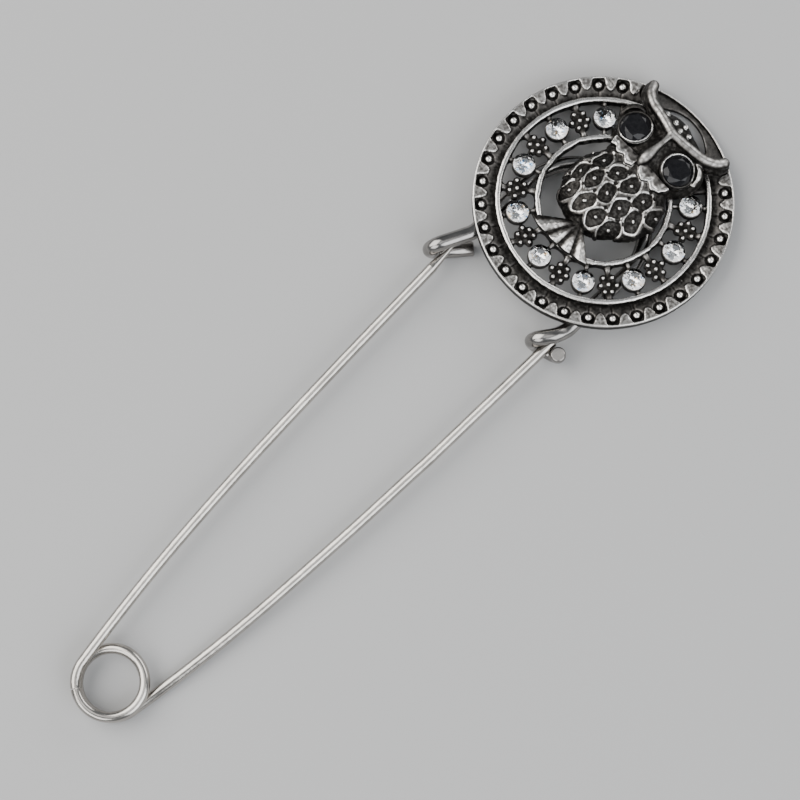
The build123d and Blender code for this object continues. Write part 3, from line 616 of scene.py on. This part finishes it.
def make_arch_wire(material):
    """Wire soldered under the disc, with a hook at each end."""
    left = Vector((*LEFT_HOOK, 0))
    right = Vector((*RIGHT_HOOK, 0))
    lower, upper = Vector((0, 0, LOWER_LEG_Z)), Vector((0, 0, UPPER_LEG_Z))
    rim_y = -((RIM_RADIUS**2 - ARCH_HALF_WIDTH**2) ** 0.5)
    left_tip = left + lower + Vector((2 * HOOK_SPREAD, LEFT_TIP_LENGTH, 0))
    right_outer = right + lower + Vector((2 * HOOK_SPREAD, RIGHT_TIP_SHIFT, 0))
    right_tip = Vector((right_outer.x, right_outer.y, RIGHT_TIP_TOP))
    points = [
        left_tip,
        left + lower,
        left + upper,
        on_disc(-ARCH_HALF_WIDTH, rim_y - LEFT_LEG_OUT, ARCH_W),
        on_disc(-ARCH_HALF_WIDTH, ARCH_TOP, ARCH_W),
        on_disc(ARCH_HALF_WIDTH, ARCH_TOP, ARCH_W),
        on_disc(ARCH_HALF_WIDTH, rim_y - RIGHT_LEG_OUT, ARCH_W),
        right + upper + Vector((HOOK_SPREAD, RIGHT_KNEE_SHIFT, 0)),
        right + upper,
        right + lower,
        right_outer,
        right_tip,
    ]
    arch_bend = ARCH_HALF_WIDTH - ARCH_FLAT / 2
    bends = [HOOK_BEND, HOOK_BEND, LEG_BEND, arch_bend, arch_bend]
    bends += [LEG_BEND, LEG_BEND, HOOK_BEND, HOOK_BEND, TIP_BEND]
    route = bent_route(points, bends)
    first_in = (route[1] - route[0]).normalized() * TIP_CHAMFER
    last_in = (route[-2] - route[-1]).normalized() * TIP_CHAMFER
    route = [route[0], route[0] + first_in] + route[1:-1] + [route[-1] + last_in, route[-1]]
    radii = [ARCH_WIRE_RADIUS] * len(route)
    radii[0] = radii[-1] = ARCH_WIRE_RADIUS - TIP_CHAMFER
    tube_points, faces = tube(route, radii, 32)
    piece = make_piece("arch_wire", tube_points, faces, Matrix.Scale(MM, 4), [material])
    for end in piece.data.polygons[-2:]:
        end.use_smooth = False
    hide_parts("medallion")


# Owl: its rounded masses, as middle and half sizes in the casting's plane
BREAST = ((-0.2, 0.45, 2.15), (6.5, 6.75, 4.02))
WING = ((3.9, 1.7, 2.0), (4.05, 5.3, 3.3))
NECK = ((0.4, 5.3, 3.0), (5.4, 2.4, 2.35))
HEAD = ((0.15, 9.9, 2.0), (7.5, 5.2, 3.15))
BRIDGE = ((0.1, 9.0, 4.3), (1.5, 4.2, 1.5))
CROWN = ((-0.4, 13.1, 3.0), (3.4, 2.15, 2.1))

# Ridges of the owl: x, y, height and radius
BROW_CREST = [
    (0.0, 12.05, 5.84, 0.72), (2.4, 12.8, 5.54, 0.72), (4.9, 13.45, 5.04, 0.76),
    (6.3, 14.35, 4.65, 0.80), (6.95, 15.5, 4.25, 0.78),
]
BROW_FLANK = [
    (0.0, 11.9, 4.9, 1.1), (2.4, 12.7, 4.6, 1.05), (4.9, 13.4, 4.0, 1.15),
    (6.4, 14.3, 3.6, 1.15), (7.0, 15.3, 3.3, 0.95),
]
RIGHT_BROW_SPREAD = 1.08
RIGHT_BROW_DROP = 0.5
BEAK_RIDGE = [
    (0.05, 12.1, 5.84, 0.7), (0.1, 10.9, 6.05, 0.46), (0.1, 9.8, 6.1, 0.46),
    (0.1, 8.6, 6.1, 0.62), (0.1, 7.4, 5.98, 0.84), (0.08, 6.6, 5.86, 0.72),
    (0.05, 6.0, 5.65, 0.42),
]
CHEEK_TUFT = [
    (4.75, 12.15, 4.1, 0.35), (5.7, 11.7, 4.35, 0.6), (6.5, 10.95, 4.4, 0.68),
    (6.95, 9.8, 4.0, 0.4),
]

# Grains of the crown: x, y, height
CROWN_GRAINS = [
    (-2.65, 14.1, 4.4), (-0.95, 13.95, 4.9), (0.38, 13.45, 5.1),
    (0.4, 14.6, 4.55), (1.7, 13.95, 4.5),
]
CROWN_GRAIN_RADIUS = 0.36

# Wavy front edge of the cheek plates: x, y
RUFF_EDGE = [
    (-5.1, 6.3), (-4.75, 5.3), (-4.1, 5.5), (-3.3, 4.95), (-2.4, 5.3),
    (-1.35, 4.6), (-0.45, 4.9), (0.3, 5.5), (1.05, 4.85), (1.85, 4.55),
    (2.7, 5.1), (3.65, 4.65), (4.6, 5.1), (5.1, 5.8), (5.4, 6.6),
]
RUFF_LEFT = -5.0
RUFF_RIGHT = 5.35
RUFF_PARTING = 0.42
RUFF_BACK = 6.7
RUFF_TOP = 6.0
RUFF_FOOT = 3.6
RUFF_SLOPE = 0.16
RUFF_ROUNDING = 0.35

# Feather net over the breast
FEATHER_MIDDLE = (0.29, -0.2)
FEATHER_STEP = (2.62, 3.1)
FEATHER_ROWS = (-1, 0, 1)
FEATHER_HALF_LENGTH = 1.66
FEATHER_HALF_WIDTH = 1.08
FEATHER_DEPTH = 0.36
FEATHER_BAND = 0.58
FEATHER_GRAIN = 0.27
FEATHER_GRAIN_RISE = 0.32
FEATHER_LIFT = 0.10
RIM_GROOVE_DEPTH = 0.10
SMALL_PIT = 0.3
SMALL_PIT_DEPTH = 0.22
FLANK_START = 1.6
FLANK_REACH = 4.9


def feather_cells(x, y):
    """Distance outside the nearest cell, offset from its middle, and distance outside a small pit."""
    flank = np.clip((-FLANK_START - x) / FLANK_REACH, 0, 1)
    x = np.where(flank > 0, -FLANK_START - FLANK_REACH * np.arcsin(flank), x)
    swayed = x + 0.14 * np.sin(1.3 * y + 0.6) + 0.07 * np.sin(3.1 * y + x)
    y = y + 0.13 * np.sin(1.1 * x + 0.4 * y)
    x = swayed
    bow = (FEATHER_HALF_LENGTH**2 + FEATHER_HALF_WIDTH**2) / (2 * FEATHER_HALF_WIDTH)
    shift = bow - FEATHER_HALF_WIDTH
    nearest = np.full(x.shape, FAR)
    off_x = np.zeros(x.shape)
    off_y = np.zeros(x.shape)
    small = np.full(x.shape, FAR)
    for row in FEATHER_ROWS:
        for column in range(-3, 3 + row % 2):
            wobble = sin(3.7 * row + 2.3 * column)
            dx = x - FEATHER_MIDDLE[0] - (column + (row % 2) / 2) * FEATHER_STEP[0] - 0.12 * wobble
            dy = y - FEATHER_MIDDLE[1] - row * FEATHER_STEP[1] - 0.15 * sin(1.3 * row + 4.1 * column)
            lean = 0.15 + 0.12 * wobble
            dx, dy = dx - lean * dy, dy + lean * dx
            outside = np.maximum(np.hypot(dx - shift, dy), np.hypot(dx + shift, dy)) - bow
            closer = outside < nearest
            nearest = np.where(closer, outside, nearest)
            off_x = np.where(closer, dx, off_x)
            off_y = np.where(closer, dy, off_y)
            for side in (-1, 1):
                tip = np.hypot(dx - side * 0.52, dy - 1.8) - SMALL_PIT * (1 + 0.3 * side * wobble)
                small = np.minimum(small, tip)
    return nearest, off_x, off_y, small


def feather_relief(x, y):
    """Height of the feather net over the plain breast, and how much of the net is there."""
    outside, off_x, off_y, small = feather_cells(x, y)
    net = step(outside, -0.04, 0.16)
    pattern = 1 - step(outside, FEATHER_BAND, FEATHER_BAND + 0.16)
    relief = FEATHER_DEPTH * (net * pattern - 1)
    relief -= SMALL_PIT_DEPTH * (1 - step(small, -0.12, 0.06)) * net * pattern
    relief -= RIM_GROOVE_DEPTH * step(outside, 0.0, 0.22) * (1 - step(outside, 0.22, 0.36)) * pattern
    from_grain = np.hypot(off_x, off_y) / FEATHER_GRAIN
    relief += FEATHER_GRAIN_RISE * np.sqrt(np.clip(1 - from_grain**2, 0, 1))
    relief += FEATHER_LIFT * pattern * np.clip(-off_y / FEATHER_HALF_LENGTH, -1, 1)
    return relief, net * pattern


def breast_share(x, y):
    """1 over the part of the breast that carries feathers, 0 elsewhere."""
    return step(y, -5.6, -5.0) * (1 - step(y, 5.0, 5.6)) * step(x, -6.3, -5.7)


def ruff_edge(x):
    """Front edge of the cheek plates, a wavy line across the owl that is level at each of its rows."""
    places, heights = np.array(RUFF_EDGE).T
    steady = np.interp(x, places, np.arange(len(places)))
    low = np.clip(np.floor(steady).astype(int), 0, len(places) - 2)
    share = steady - low
    return heights[low] + (heights[low + 1] - heights[low]) * share**2 * (3 - 2 * share)


def ruff_plate(grid):
    """Field of the two cheek plates under the eyes."""
    x, y, w = grid
    edge = ruff_edge(x)
    from_edge = np.clip(y - edge, 0, 3)
    top = RUFF_TOP - RUFF_SLOPE * np.abs(x) - RUFF_SLOPE * from_edge + 0.06 * grainy(x, y, 1.9, 2.0)
    plate = -blended(y - edge, top - w, RUFF_ROUNDING)
    plate = np.maximum(plate, np.maximum(y - RUFF_BACK, RUFF_FOOT - w))
    ends = np.maximum(RUFF_LEFT - x, x - RUFF_RIGHT)
    return np.maximum(plate, np.maximum(RUFF_PARTING - np.abs(x), ends))


def eye_place(side):
    """Matrix from an eye's own millimetres to the casting's plane; its table looks along its third axis."""
    place = Matrix.Translation(Vector((side * EYE_SPREAD, EYE_Y, EYE_GIRDLE_W)))
    return place @ Matrix.Rotation(radians(side * EYE_TILT), 4, "Y")


def in_eye(grid, side):
    """Grid coordinates in an eye's own axes."""
    back = np.array(eye_place(side).inverted())
    return [sum(back[row, a] * grid[a] for a in range(3)) + back[row, 3] for row in range(3)]


def cheek_tuft(grid, side):
    """Field of the feather tuft that lies around the upper side of an eye."""
    return ridge(grid, curved_rows(CHEEK_TUFT, 4), side)


def brow_rows(rows, side):
    """Brow rows for one side; the right brow reaches a little further out and lies lower."""
    if side < 0:
        return rows
    return [
        (x * RIGHT_BROW_SPREAD, y - RIGHT_BROW_DROP * min(x / 3, 1), w, radius)
        for x, y, w, radius in rows
    ]


# Pleated tail
TAIL_APEX = (0.6, -4.7)
TAIL_HALF_ANGLE = 53.0
TAIL_PLEATS = 4
TAIL_END_RADIUS = 18.2
TAIL_END_LOW = (-0.97, -9.55)
TAIL_LENGTH = 6.0
TAIL_ROOT = 1.3
TAIL_FALL = 0.72
PLEAT_RISE = 0.5
PLEAT_LENGTH = 3
PLEAT_CREST = 0.62
TAIL_NOTCH = 0.22


def tail_crease(x, y):
    """Angle from the tail's axis, distance from its root, and 1 in a crease falling to 0 on a crest."""
    across = x - TAIL_APEX[0]
    down = TAIL_APEX[1] - y
    angle = np.degrees(np.arctan2(across, down))
    pleat = (angle / TAIL_HALF_ANGLE + 1) * TAIL_PLEATS / 2
    crest = np.abs((pleat % 1) - PLEAT_CREST) / PLEAT_CREST
    return angle, np.hypot(across, down), np.clip(crest, 0, 1)


def tail_fan(grid):
    """Field of the pleated tail, which ends in a shallow arc beyond the inner ring."""
    x, y, w = grid
    angle, spread, crease = tail_crease(x, y)
    fall = np.clip(spread / TAIL_LENGTH, 0, 1.2)
    top = w - OWL_SEAT - (TAIL_ROOT - TAIL_FALL * fall)
    top -= PLEAT_RISE * (1 - crease) * np.clip(spread / PLEAT_LENGTH, 0, 1)
    top -= 0.04 * grainy(x, y, 1.1, 5.0)
    side = spread * np.sin(np.radians(np.clip(np.abs(angle) - TAIL_HALF_ANGLE, -90, 90)))
    end = np.hypot(x - TAIL_END_LOW[0], y - TAIL_END_LOW[1] - TAIL_END_RADIUS) - TAIL_END_RADIUS
    end += TAIL_NOTCH * crease
    return np.maximum(np.maximum(top, side), end)


def brow_field(grid):
    """Field of the brows and beak, the polished ridges of the face."""
    field = ridge(grid, curved_rows(BEAK_RIDGE, 4))
    for side in (-1, 1):
        rows = curved_rows(brow_rows(BROW_CREST, side), 4)
        field = blended(field, ridge(grid, rows, side), 0.12)
    return field


def owl_field(grid):
    """Field of the owl with its relief, below zero inside it."""
    x, y, w = grid
    flat_x, flat_y = x[:, :, 0], y[:, :, 0]
    relief, _ = feather_relief(flat_x, flat_y)
    feathered = breast_share(flat_x, flat_y)
    relief = relief * feathered - FEATHER_DEPTH * (1 - feathered)
    relief = relief + 0.07 * grainy(flat_x, flat_y, 0.75, 1.0) * (relief < -0.3)
    relief = relief[:, :, None] * 0.85
    rough = 0.05 * grainy(flat_x, flat_y, 0.9, 4.0)[:, :, None]
    field = blended(lump(grid, *BREAST) - relief, lump(grid, *WING) - relief, 0.3)
    field = blended(field, lump(grid, *NECK) - rough, 0.3)
    field = blended(field, lump(grid, *HEAD) - rough, 0.4)
    field = blended(field, lump(grid, *BRIDGE), 0.6)
    for side in (-1, 1):
        flank = curved_rows(brow_rows(BROW_FLANK, side), 3)
        field = blended(field, ridge(grid, flank, side) - rough, 0.4)
        field = blended(field, cheek_tuft(grid, side), 0.15)
    field = blended(field, lump(grid, *CROWN), 0.4)
    for spot in CROWN_GRAINS:
        field = blended(field, distance(grid, spot) - CROWN_GRAIN_RADIUS, 0.1)
    field = blended(field, ruff_plate(grid), 0.1)
    for side in (-1, 1):
        eye_x, eye_y, eye_z = in_eye(grid, side)
        across = np.hypot(eye_x, eye_y)
        socket = np.maximum(across - SOCKET_RADIUS, eye_z + SOCKET_DROP)
        socket = np.maximum(socket, -SOCKET_DEPTH - eye_z)
        field = blended(field, socket, 0.25)
        field = np.maximum(field, -np.maximum(across - CLEARED_RADIUS, -SOCKET_DROP - eye_z))
        bezel_top = eye_z - BEZEL_RISE - BEZEL_SLOPE * (-side * eye_x) / BEZEL_REACH
        bezel = np.maximum(np.abs(across - BEZEL_RADIUS) - BEZEL_HALF_WIDTH, bezel_top)
        bezel = np.maximum(bezel, -BEZEL_DEPTH - eye_z)
        field = blended(field, bezel, 0.08)
        field = np.maximum(field, -np.maximum(across - POCKET_RADIUS, -POCKET_DEPTH - eye_z))
    field = blended(field, brow_field(grid), 0.12)
    field = blended(field, tail_fan(grid), 0.15)
    return np.maximum(field, OWL_SEAT - w)


def owl_wear_and_painted_light(points, normals):
    """How far the plating is worn to bright metal at each point, from 0 to about 1, with painted light
    mixed in: faces turned up are painted bright and faces turned aside dark, and the owl is darker towards
    its seat on the disc.
    """
    grid = points.T
    x, y, w = grid
    # Painted light: only faces turned up keep their brightness, and faces turned aside are painted in
    # shade.
    painted_top_light = step(normals[:, 2], 0.05, 0.75)
    outside, off_x, off_y, small = feather_cells(x, y)
    _, net = feather_relief(x, y)
    feathered = breast_share(x, y) * (1 - step(w, 6.7, 6.9))
    net = net * step(small, -0.05, 0.08) * feathered
    grain = (1 - step(np.hypot(off_x, off_y), 0.12, 0.27)) * feathered
    line = net * (1 - 0.75 * step(outside, 0.24, 0.36))
    wear = 0.13 + 0.07 * grainy(x, y, 0.9, 8.0) + (0.62 + 0.22 * grainy(x, y, 1.3, 2.0)) * line + grain
    on_face = step(y, 5.0, 5.6)
    wear = wear * (1 - on_face) + 0.10 * on_face
    # Darker towards the seat on the disc.
    wear = wear * (0.25 + 0.75 * step(w, 2.7, 3.7))
    plate = skin(ruff_plate(grid), 0.06, 0.16) * step(ruff_edge(x) + 1.9 - y, 0.0, 0.5)
    from_edge = y - ruff_edge(x)
    plate_wear = 0.42 + 0.2 * grainy(x, y, 1.9, 2.0) + 0.4 * (1 - step(from_edge, 0.3, 1.0))
    wear = wear + (plate_wear - wear) * plate * step(w, 4.6, 5.0)
    for side in (-1, 1):
        eye_x, eye_y, eye_z = in_eye(grid, side)
        ring = skin(np.hypot(eye_x, eye_y) - BEZEL_RADIUS, 0.14, 0.26)
        ring = ring * step(eye_z, -0.25, -0.05)
        inner_side = step(-side * eye_x + 0.55 * eye_y * side, -0.4, 1.6)
        wear = np.maximum(wear * (1 - ring), ring * (0.12 + 0.95 * inner_side))
        tuft = skin(cheek_tuft(grid, side), 0.05, 0.2)
        # Painted shade on the left tuft and painted highlight on the right one, on the parts that face up.
        wear = np.maximum(wear, (0.38 + 0.28 * side) * tuft * step(normals[:, 2], 0.3, 0.95))
    # Painted highlight: the crown grains are bright only where they face up.
    for spot in CROWN_GRAINS:
        near = 1 - step(distance(grid, spot), 0.36, 0.5)
        wear = np.maximum(wear, near * step(normals[:, 2], 0.3, 0.8))
    ridges = skin(brow_field(grid), 0.05, 0.16)
    polished = 0.55 + 0.10 * grainy(x, y, 1.9, 7.0)
    # Painted highlight on the tops of the polished ridges, with painted shade on their flanks.
    wear = np.maximum(wear * (1 - ridges), ridges * step(normals[:, 2], 0.25, 0.95) * polished)
    _, spread, crease = tail_crease(x, y)
    tail = skin(tail_fan(grid), 0.06, 0.18)
    tail_wear = 0.66 - 0.66 * step(crease, 0.3, 0.8) + 0.15 * grainy(x, y, 1.4, 3.0)
    tail_wear = tail_wear * (0.15 + 0.85 * step(spread, 1.3, 3.9))
    wear = wear + (tail_wear - wear) * tail * step(-y, 4.7, 5.4)
    return wear * painted_top_light


def make_owl(material):
    """Owl casting with its feather net, brows, cheeks, crown and tail."""
    cell = OWL_FINE_CELL
    low = np.array([-8.4, OWL_FOOT_Y - 0.4, OWL_SEAT - 2.5 * cell])
    high = np.array([8.6, 16.8, OWL_TOP])
    axes = [np.arange(a, b, cell, dtype=np.float32) for a, b in zip(low, high)]
    grid = np.meshgrid(*axes, indexing="ij")
    points, quads = wrapped(owl_field(grid), low, cell)
    wear = owl_wear_and_painted_light(points, point_normals(points, quads))
    wear += 1.1 * convexity(points, quads, round(CONVEX_REACH / cell)) / CONVEX_REACH
    piece = make_piece("owl_casting", points, quads.tolist(), casting_matrix, [material])
    add_wear(piece, wear)
    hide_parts("owl")


# Materials
class Nodes:
    """Short names for building one material's nodes."""

    def __init__(self, name):
        self.material = bpy.data.materials.new(name)
        self.material.use_nodes = True
        self.tree = self.material.node_tree
        self.tree.nodes.clear()
        self.output = self.tree.nodes.new("ShaderNodeOutputMaterial")

    def add(self, kind, **sockets):
        node = self.tree.nodes.new(kind)
        for key, value in sockets.items():
            self.set(node.inputs[key.replace("_", " ")], value)
        return node

    def set(self, socket, value):
        if isinstance(value, bpy.types.NodeSocket):
            self.tree.links.new(value, socket)
        else:
            socket.default_value = value

    def math(self, operation, first, second=0.0, clamp=False):
        node = self.tree.nodes.new("ShaderNodeMath")
        node.operation = operation
        node.use_clamp = clamp
        self.set(node.inputs[0], first)
        self.set(node.inputs[1], second)
        return node.outputs[0]

    def rise(self, value, low, high):
        """Smooth rise from 0 to 1 between two values."""
        node = self.add("ShaderNodeMapRange", Value=value, From_Min=low, From_Max=high)
        node.interpolation_type = "SMOOTHSTEP"
        return node.outputs["Result"]

    def noise(self, size, detail=2.0, roughness=0.5):
        """Noise with features about the given number of millimetres across."""
        place = self.add("ShaderNodeTexCoord").outputs["Object"]
        grain = {"Scale": 1 / (size * MM), "Detail": detail, "Roughness": roughness}
        return self.add("ShaderNodeTexNoise", Vector=place, **grain).outputs["Fac"]

    def colours(self, share, stops):
        """Colour ramp with stops of position and colour."""
        node = self.add("ShaderNodeValToRGB", Fac=share)
        ramp = node.color_ramp
        while len(ramp.elements) < len(stops):
            ramp.elements.new(0.5)
        for element, (position, colour) in zip(ramp.elements, stops):
            element.position = position
            element.color = (*colour, 1)
        return node.outputs["Color"]

    def bump(self, height, strength, depth, normal=None):
        node = self.add("ShaderNodeBump", Strength=strength, Distance=depth * MM, Height=height)
        if normal is not None:
            self.set(node.inputs["Normal"], normal)
        return node.outputs["Normal"]

    def finish(self, **sockets):
        """Material whose surface has the given values."""
        shader = self.add("ShaderNodeBsdfPrincipled", **sockets)
        self.tree.links.new(shader.outputs[0], self.output.inputs["Surface"])
        return self.material


OXIDE = (0.013, 0.012, 0.011)
GREY = (0.15, 0.142, 0.134)
SILVER = (0.66, 0.64, 0.61)
BRIGHT = (0.74, 0.72, 0.69)


def casting_material(name, grain_size, hollow):
    """Plated casting: dark oxide in the hollows, bright metal where the points are worn and stand free."""
    nodes = Nodes(name)
    attribute = nodes.add("ShaderNodeAttribute")
    attribute.attribute_name = "wear"
    depth = nodes.add("ShaderNodeAmbientOcclusion", Distance=hollow * MM)
    depth.samples = 8
    raised = nodes.rise(attribute.outputs["Fac"], 0.0, 1.0)
    open_sky = nodes.rise(depth.outputs["AO"], 0.12, 0.75)
    wear = nodes.math("MULTIPLY", raised, open_sky)
    mottle = nodes.noise(0.55, 3.0, 0.6)
    fine = nodes.noise(grain_size, 3.0, 0.6)
    uneven = nodes.math("MULTIPLY", nodes.math("SUBTRACT", mottle, 0.5), 0.55)
    share = nodes.math("ADD", wear, uneven, clamp=True)
    colour = nodes.colours(share, [(0.0, OXIDE), (0.45, GREY), (0.85, SILVER), (1.0, BRIGHT)])
    rough = nodes.rise(share, 1.0, 0.2)
    rough = nodes.math("ADD", nodes.math("MULTIPLY", rough, 0.24), 0.2)
    rough = nodes.math("ADD", rough, nodes.math("MULTIPLY", fine, 0.12))
    normal = nodes.bump(fine, 0.35, 0.03)
    normal = nodes.bump(mottle, 0.3, 0.08, normal)
    return nodes.finish(Base_Color=colour, Metallic=1.0, Roughness=rough, Normal=normal)


def wire_material(name, dark, light):
    """Polished plated wire with fine lengthwise scratches, between a dark and a light shade."""
    nodes = Nodes(name)
    place = nodes.add("ShaderNodeTexCoord").outputs["Object"]
    stretch = nodes.add("ShaderNodeMapping", Vector=place, Scale=(1, 0.04, 1))
    fine = 1 / (0.12 * MM)
    scratch = nodes.add("ShaderNodeTexNoise", Vector=stretch.outputs[0], Scale=fine, Detail=3.0)
    cloud = nodes.noise(2.5, 3.0)
    colour = nodes.colours(cloud, [(0.3, dark), (0.7, light)])
    rough = nodes.math("ADD", nodes.math("MULTIPLY", cloud, 0.16), 0.12)
    normal = nodes.bump(scratch.outputs["Fac"], 0.25, 0.015)
    return nodes.finish(Base_Color=colour, Metallic=1.0, Roughness=rough, Normal=normal)


def crystal_material():
    """Clear lead crystal."""
    nodes = Nodes("clear_crystal")
    rough = nodes.math("MULTIPLY", nodes.noise(0.8), 0.03)
    return nodes.finish(Base_Color=(1, 1, 1, 1), Roughness=rough, Transmission_Weight=1.0, IOR=1.56)


def foil_material():
    """Mirror foil behind a stone, slightly uneven, with patches of blue and orange painted in as the
    coloured fire of a cut stone.
    """
    nodes = Nodes("stone_foil")
    cloud = nodes.noise(0.9, 1.0)
    white = (1.0, 1.0, 1.0)
    # Painted glints: the blue and orange patches stand in for the coloured fire that the cut throws.
    stops = [(0.27, (0.4, 0.66, 1.0)), (0.32, white), (0.67, white), (0.72, (1.0, 0.76, 0.48))]
    colour = nodes.colours(cloud, stops)
    return nodes.finish(Base_Color=colour, Metallic=1.0, Roughness=0.03)


def black_glass_material():
    """Opaque black glass with a polish that is a little worn."""
    nodes = Nodes("black_glass")
    cloud = nodes.noise(0.6, 3.0)
    rough = nodes.math("ADD", nodes.math("MULTIPLY", cloud, 0.06), 0.02)
    colour = nodes.colours(cloud, [(0.3, (0.004, 0.004, 0.005)), (0.7, (0.009, 0.009, 0.010))])
    return nodes.finish(Base_Color=colour, Roughness=rough, IOR=1.33)


# Cut stones
def brilliant(radius, table_share, crown, girdle, pavilion, corner_share=0.8, back_share=0.3):
    """Points of a round brilliant, its facets down to the girdle, and those of its back."""
    side_x = corner_share * cos(radians(22.5))
    corner_z = crown * (1 - side_x) / (1 - table_share)
    back_z = -pavilion * (1 - back_share * cos(radians(22.5)))

    def around(share, z, start, count):
        turns = [start + 360 / count * i for i in range(count)]
        return [(radius * share * cos(radians(t)), radius * share * sin(radians(t)), z) for t in turns]

    points = around(table_share, girdle + crown, 0, 8)
    points += around(corner_share, girdle + corner_z, 22.5, 8)
    points += around(1, girdle, 0, 32) + around(1, 0, 0, 32)
    points += around(back_share, back_z, 22.5, 8) + [(0, 0, -pavilion)]
    corners, uppers, lowers = range(8, 16), range(16, 48), range(48, 80)
    backs, culet = range(80, 88), 88
    front = [list(range(8))]
    back = []
    for i in range(8):
        upper = [uppers[(4 * i + k) % 32] for k in range(5)]
        lower = [lowers[(4 * i + k) % 32] for k in range(5)]
        front.append([i, corners[i], (i + 1) % 8])
        front.append([i, corners[i - 1], upper[0], corners[i]])
        front.append([corners[i], *upper[:3]])
        front.append([corners[i], *upper[2:]])
        back.append([culet, backs[i], lower[0], backs[i - 1]])
        back.append([backs[i], *lower[2::-1]])
        back.append([backs[i], *lower[:1:-1]])
    front += [[uppers[i], lowers[i], lowers[(i + 1) % 32], uppers[(i + 1) % 32]] for i in range(32)]
    return points, front, back


def cut_stone(name, sizes, place, materials):
    """Faceted stone, with the last of the materials on its back."""
    points, front, back = brilliant(*sizes)
    kinds = [0] * len(front) + [len(materials) - 1] * len(back)
    return make_piece(name + "_cut", points, front + back, place, materials, kinds, smooth=False)


def make_stones(crystal, foil):
    """Clear stones in their cups, glass in front and foil behind."""
    sizes = (STONE_RADIUS, STONE_TABLE_SHARE, STONE_CROWN, STONE_GIRDLE, STONE_PAVILION)
    for i in range(STONE_COUNT):
        angle = 270 + STONE_STEP * (i - (STONE_COUNT - 1) / 2)
        place = (
            casting_matrix
            @ Matrix.Rotation(radians(angle), 4, "Z")
            @ Matrix.Translation((STONE_CIRCLE, 0, STONE_GIRDLE_W))
            @ Matrix.Rotation(radians(STONE_TURN * i), 4, "Z")
        )
        name = f"stone_{i + 1:02d}"
        piece = cut_stone(name, sizes, place, [crystal, foil])
        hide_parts(name)


def make_eyes(glass):
    """Black faceted eyes."""
    sizes = (EYE_RADIUS, EYE_TABLE_SHARE, EYE_CROWN, EYE_GIRDLE, EYE_PAVILION)
    for name, side in (("eye_left", -1), ("eye_right", 1)):
        place = casting_matrix @ eye_place(side) @ Matrix.Rotation(radians(EYE_TURN), 4, "Z")
        piece = cut_stone(name, sizes, place, [glass])
        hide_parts(name)


# Camera, floor and lights
CAMERA_PLACE = (51.68, -15.55, 351.34)
CAMERA_AIM = (-0.14653, 0.04896, -0.98799)
CAMERA_UP = (-0.70382, 0.69666, 0.13891)
CAMERA_LENS = 117.0
CAMERA_FILM = 36
FLOOR_REACH = 1500
FLOOR_GREY = (0.36, 0.36, 0.36, 1)

# Studio lights: name, place, target, size, brightness, colour
STUDIO_LIGHTS = [
    ("key", (-330, -150, 380), (0, 10, 0), (560, 520), 5.0, (1.0, 0.98, 0.95)),
    ("right", (390, 40, 330), (0, 10, 0), (420, 420), 4.2, (0.95, 0.97, 1.0)),
    ("front", (60, -430, 330), (0, 0, 0), (420, 300), 3.6, (1, 1, 1)),
    ("back", (40, 470, 240), (0, 20, 0), (460, 220), 3.6, (1, 1, 1)),
    ("over", (20, 0, 450), (0, 0, 0), (240, 240), 1.2, (1, 1, 1)),
]


def add_camera():
    """Camera at the photo's angle to the brooch."""
    data = bpy.data.cameras.new("camera")
    data.lens = CAMERA_LENS
    data.sensor_width = CAMERA_FILM
    data.clip_start = 0.01
    camera = add_object("camera", data)
    back = -Vector(CAMERA_AIM).normalized()
    right = Vector(CAMERA_UP).cross(back).normalized()
    up = back.cross(right)
    turn = Matrix((right, up, back)).transposed().to_4x4()
    camera.matrix_world = Matrix.Translation(Vector(CAMERA_PLACE) * MM) @ turn
    bpy.context.scene.camera = camera


def add_area(name, place, target, size, glow, colour):
    """Soft rectangular light that shines with the given brightness over its whole face."""
    data = bpy.data.lights.new(name, "AREA")
    data.shape = "RECTANGLE"
    data.size = size[0] * MM
    data.size_y = size[1] * MM
    data.energy = glow * pi * size[0] * size[1] * MM**2
    data.color = colour
    light = add_object(name, data)
    light.location = Vector(place) * MM
    direction = (Vector(target) - Vector(place)).normalized()
    light.rotation_euler = direction.to_track_quat("-Z", "Y").to_euler()


def add_floor():
    """Plain pale floor."""
    reach = FLOOR_REACH * MM
    corners = [(-reach, -reach, 0), (reach, -reach, 0), (reach, reach, 0), (-reach, reach, 0)]
    mesh = bpy.data.meshes.new("floor")
    mesh.from_pydata(corners, [], [(0, 1, 2, 3)])
    floor = add_object("floor", mesh)
    nodes = Nodes("floor")
    mesh.materials.append(nodes.finish(Base_Color=FLOOR_GREY, Roughness=0.85))


def add_world(strength):
    world = bpy.data.worlds.new("studio")
    world.use_nodes = True
    background = world.node_tree.nodes["Background"]
    background.inputs["Color"].default_value = (0.9, 0.95, 1.0, 1)
    background.inputs["Strength"].default_value = strength
    bpy.context.scene.world = world


wire = wire_material("pin_wire", (0.38, 0.36, 0.335), (0.52, 0.495, 0.46))
for name in ("fixed_arm", "pin_arm"):
    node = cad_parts[name]
    node.data.materials.clear()
    node.data.materials.append(wire)
casting = casting_material("antique_silver", 0.15, 0.7)
make_relief("disc_border", border_maps, border_back, casting)
make_relief("disc_face", face_maps, face_back, casting)
# The arch wire has a darker copy of the wire's colours: painted shade for the wire under the disc.
make_arch_wire(wire_material("arch_wire", (0.2, 0.195, 0.19), (0.34, 0.325, 0.31)))
make_owl(casting_material("owl_silver", 0.12, 0.9))
make_stones(crystal_material(), foil_material())
make_eyes(black_glass_material())
add_camera()
add_floor()
add_world(0.3)
for light in STUDIO_LIGHTS:
    add_area(*light)
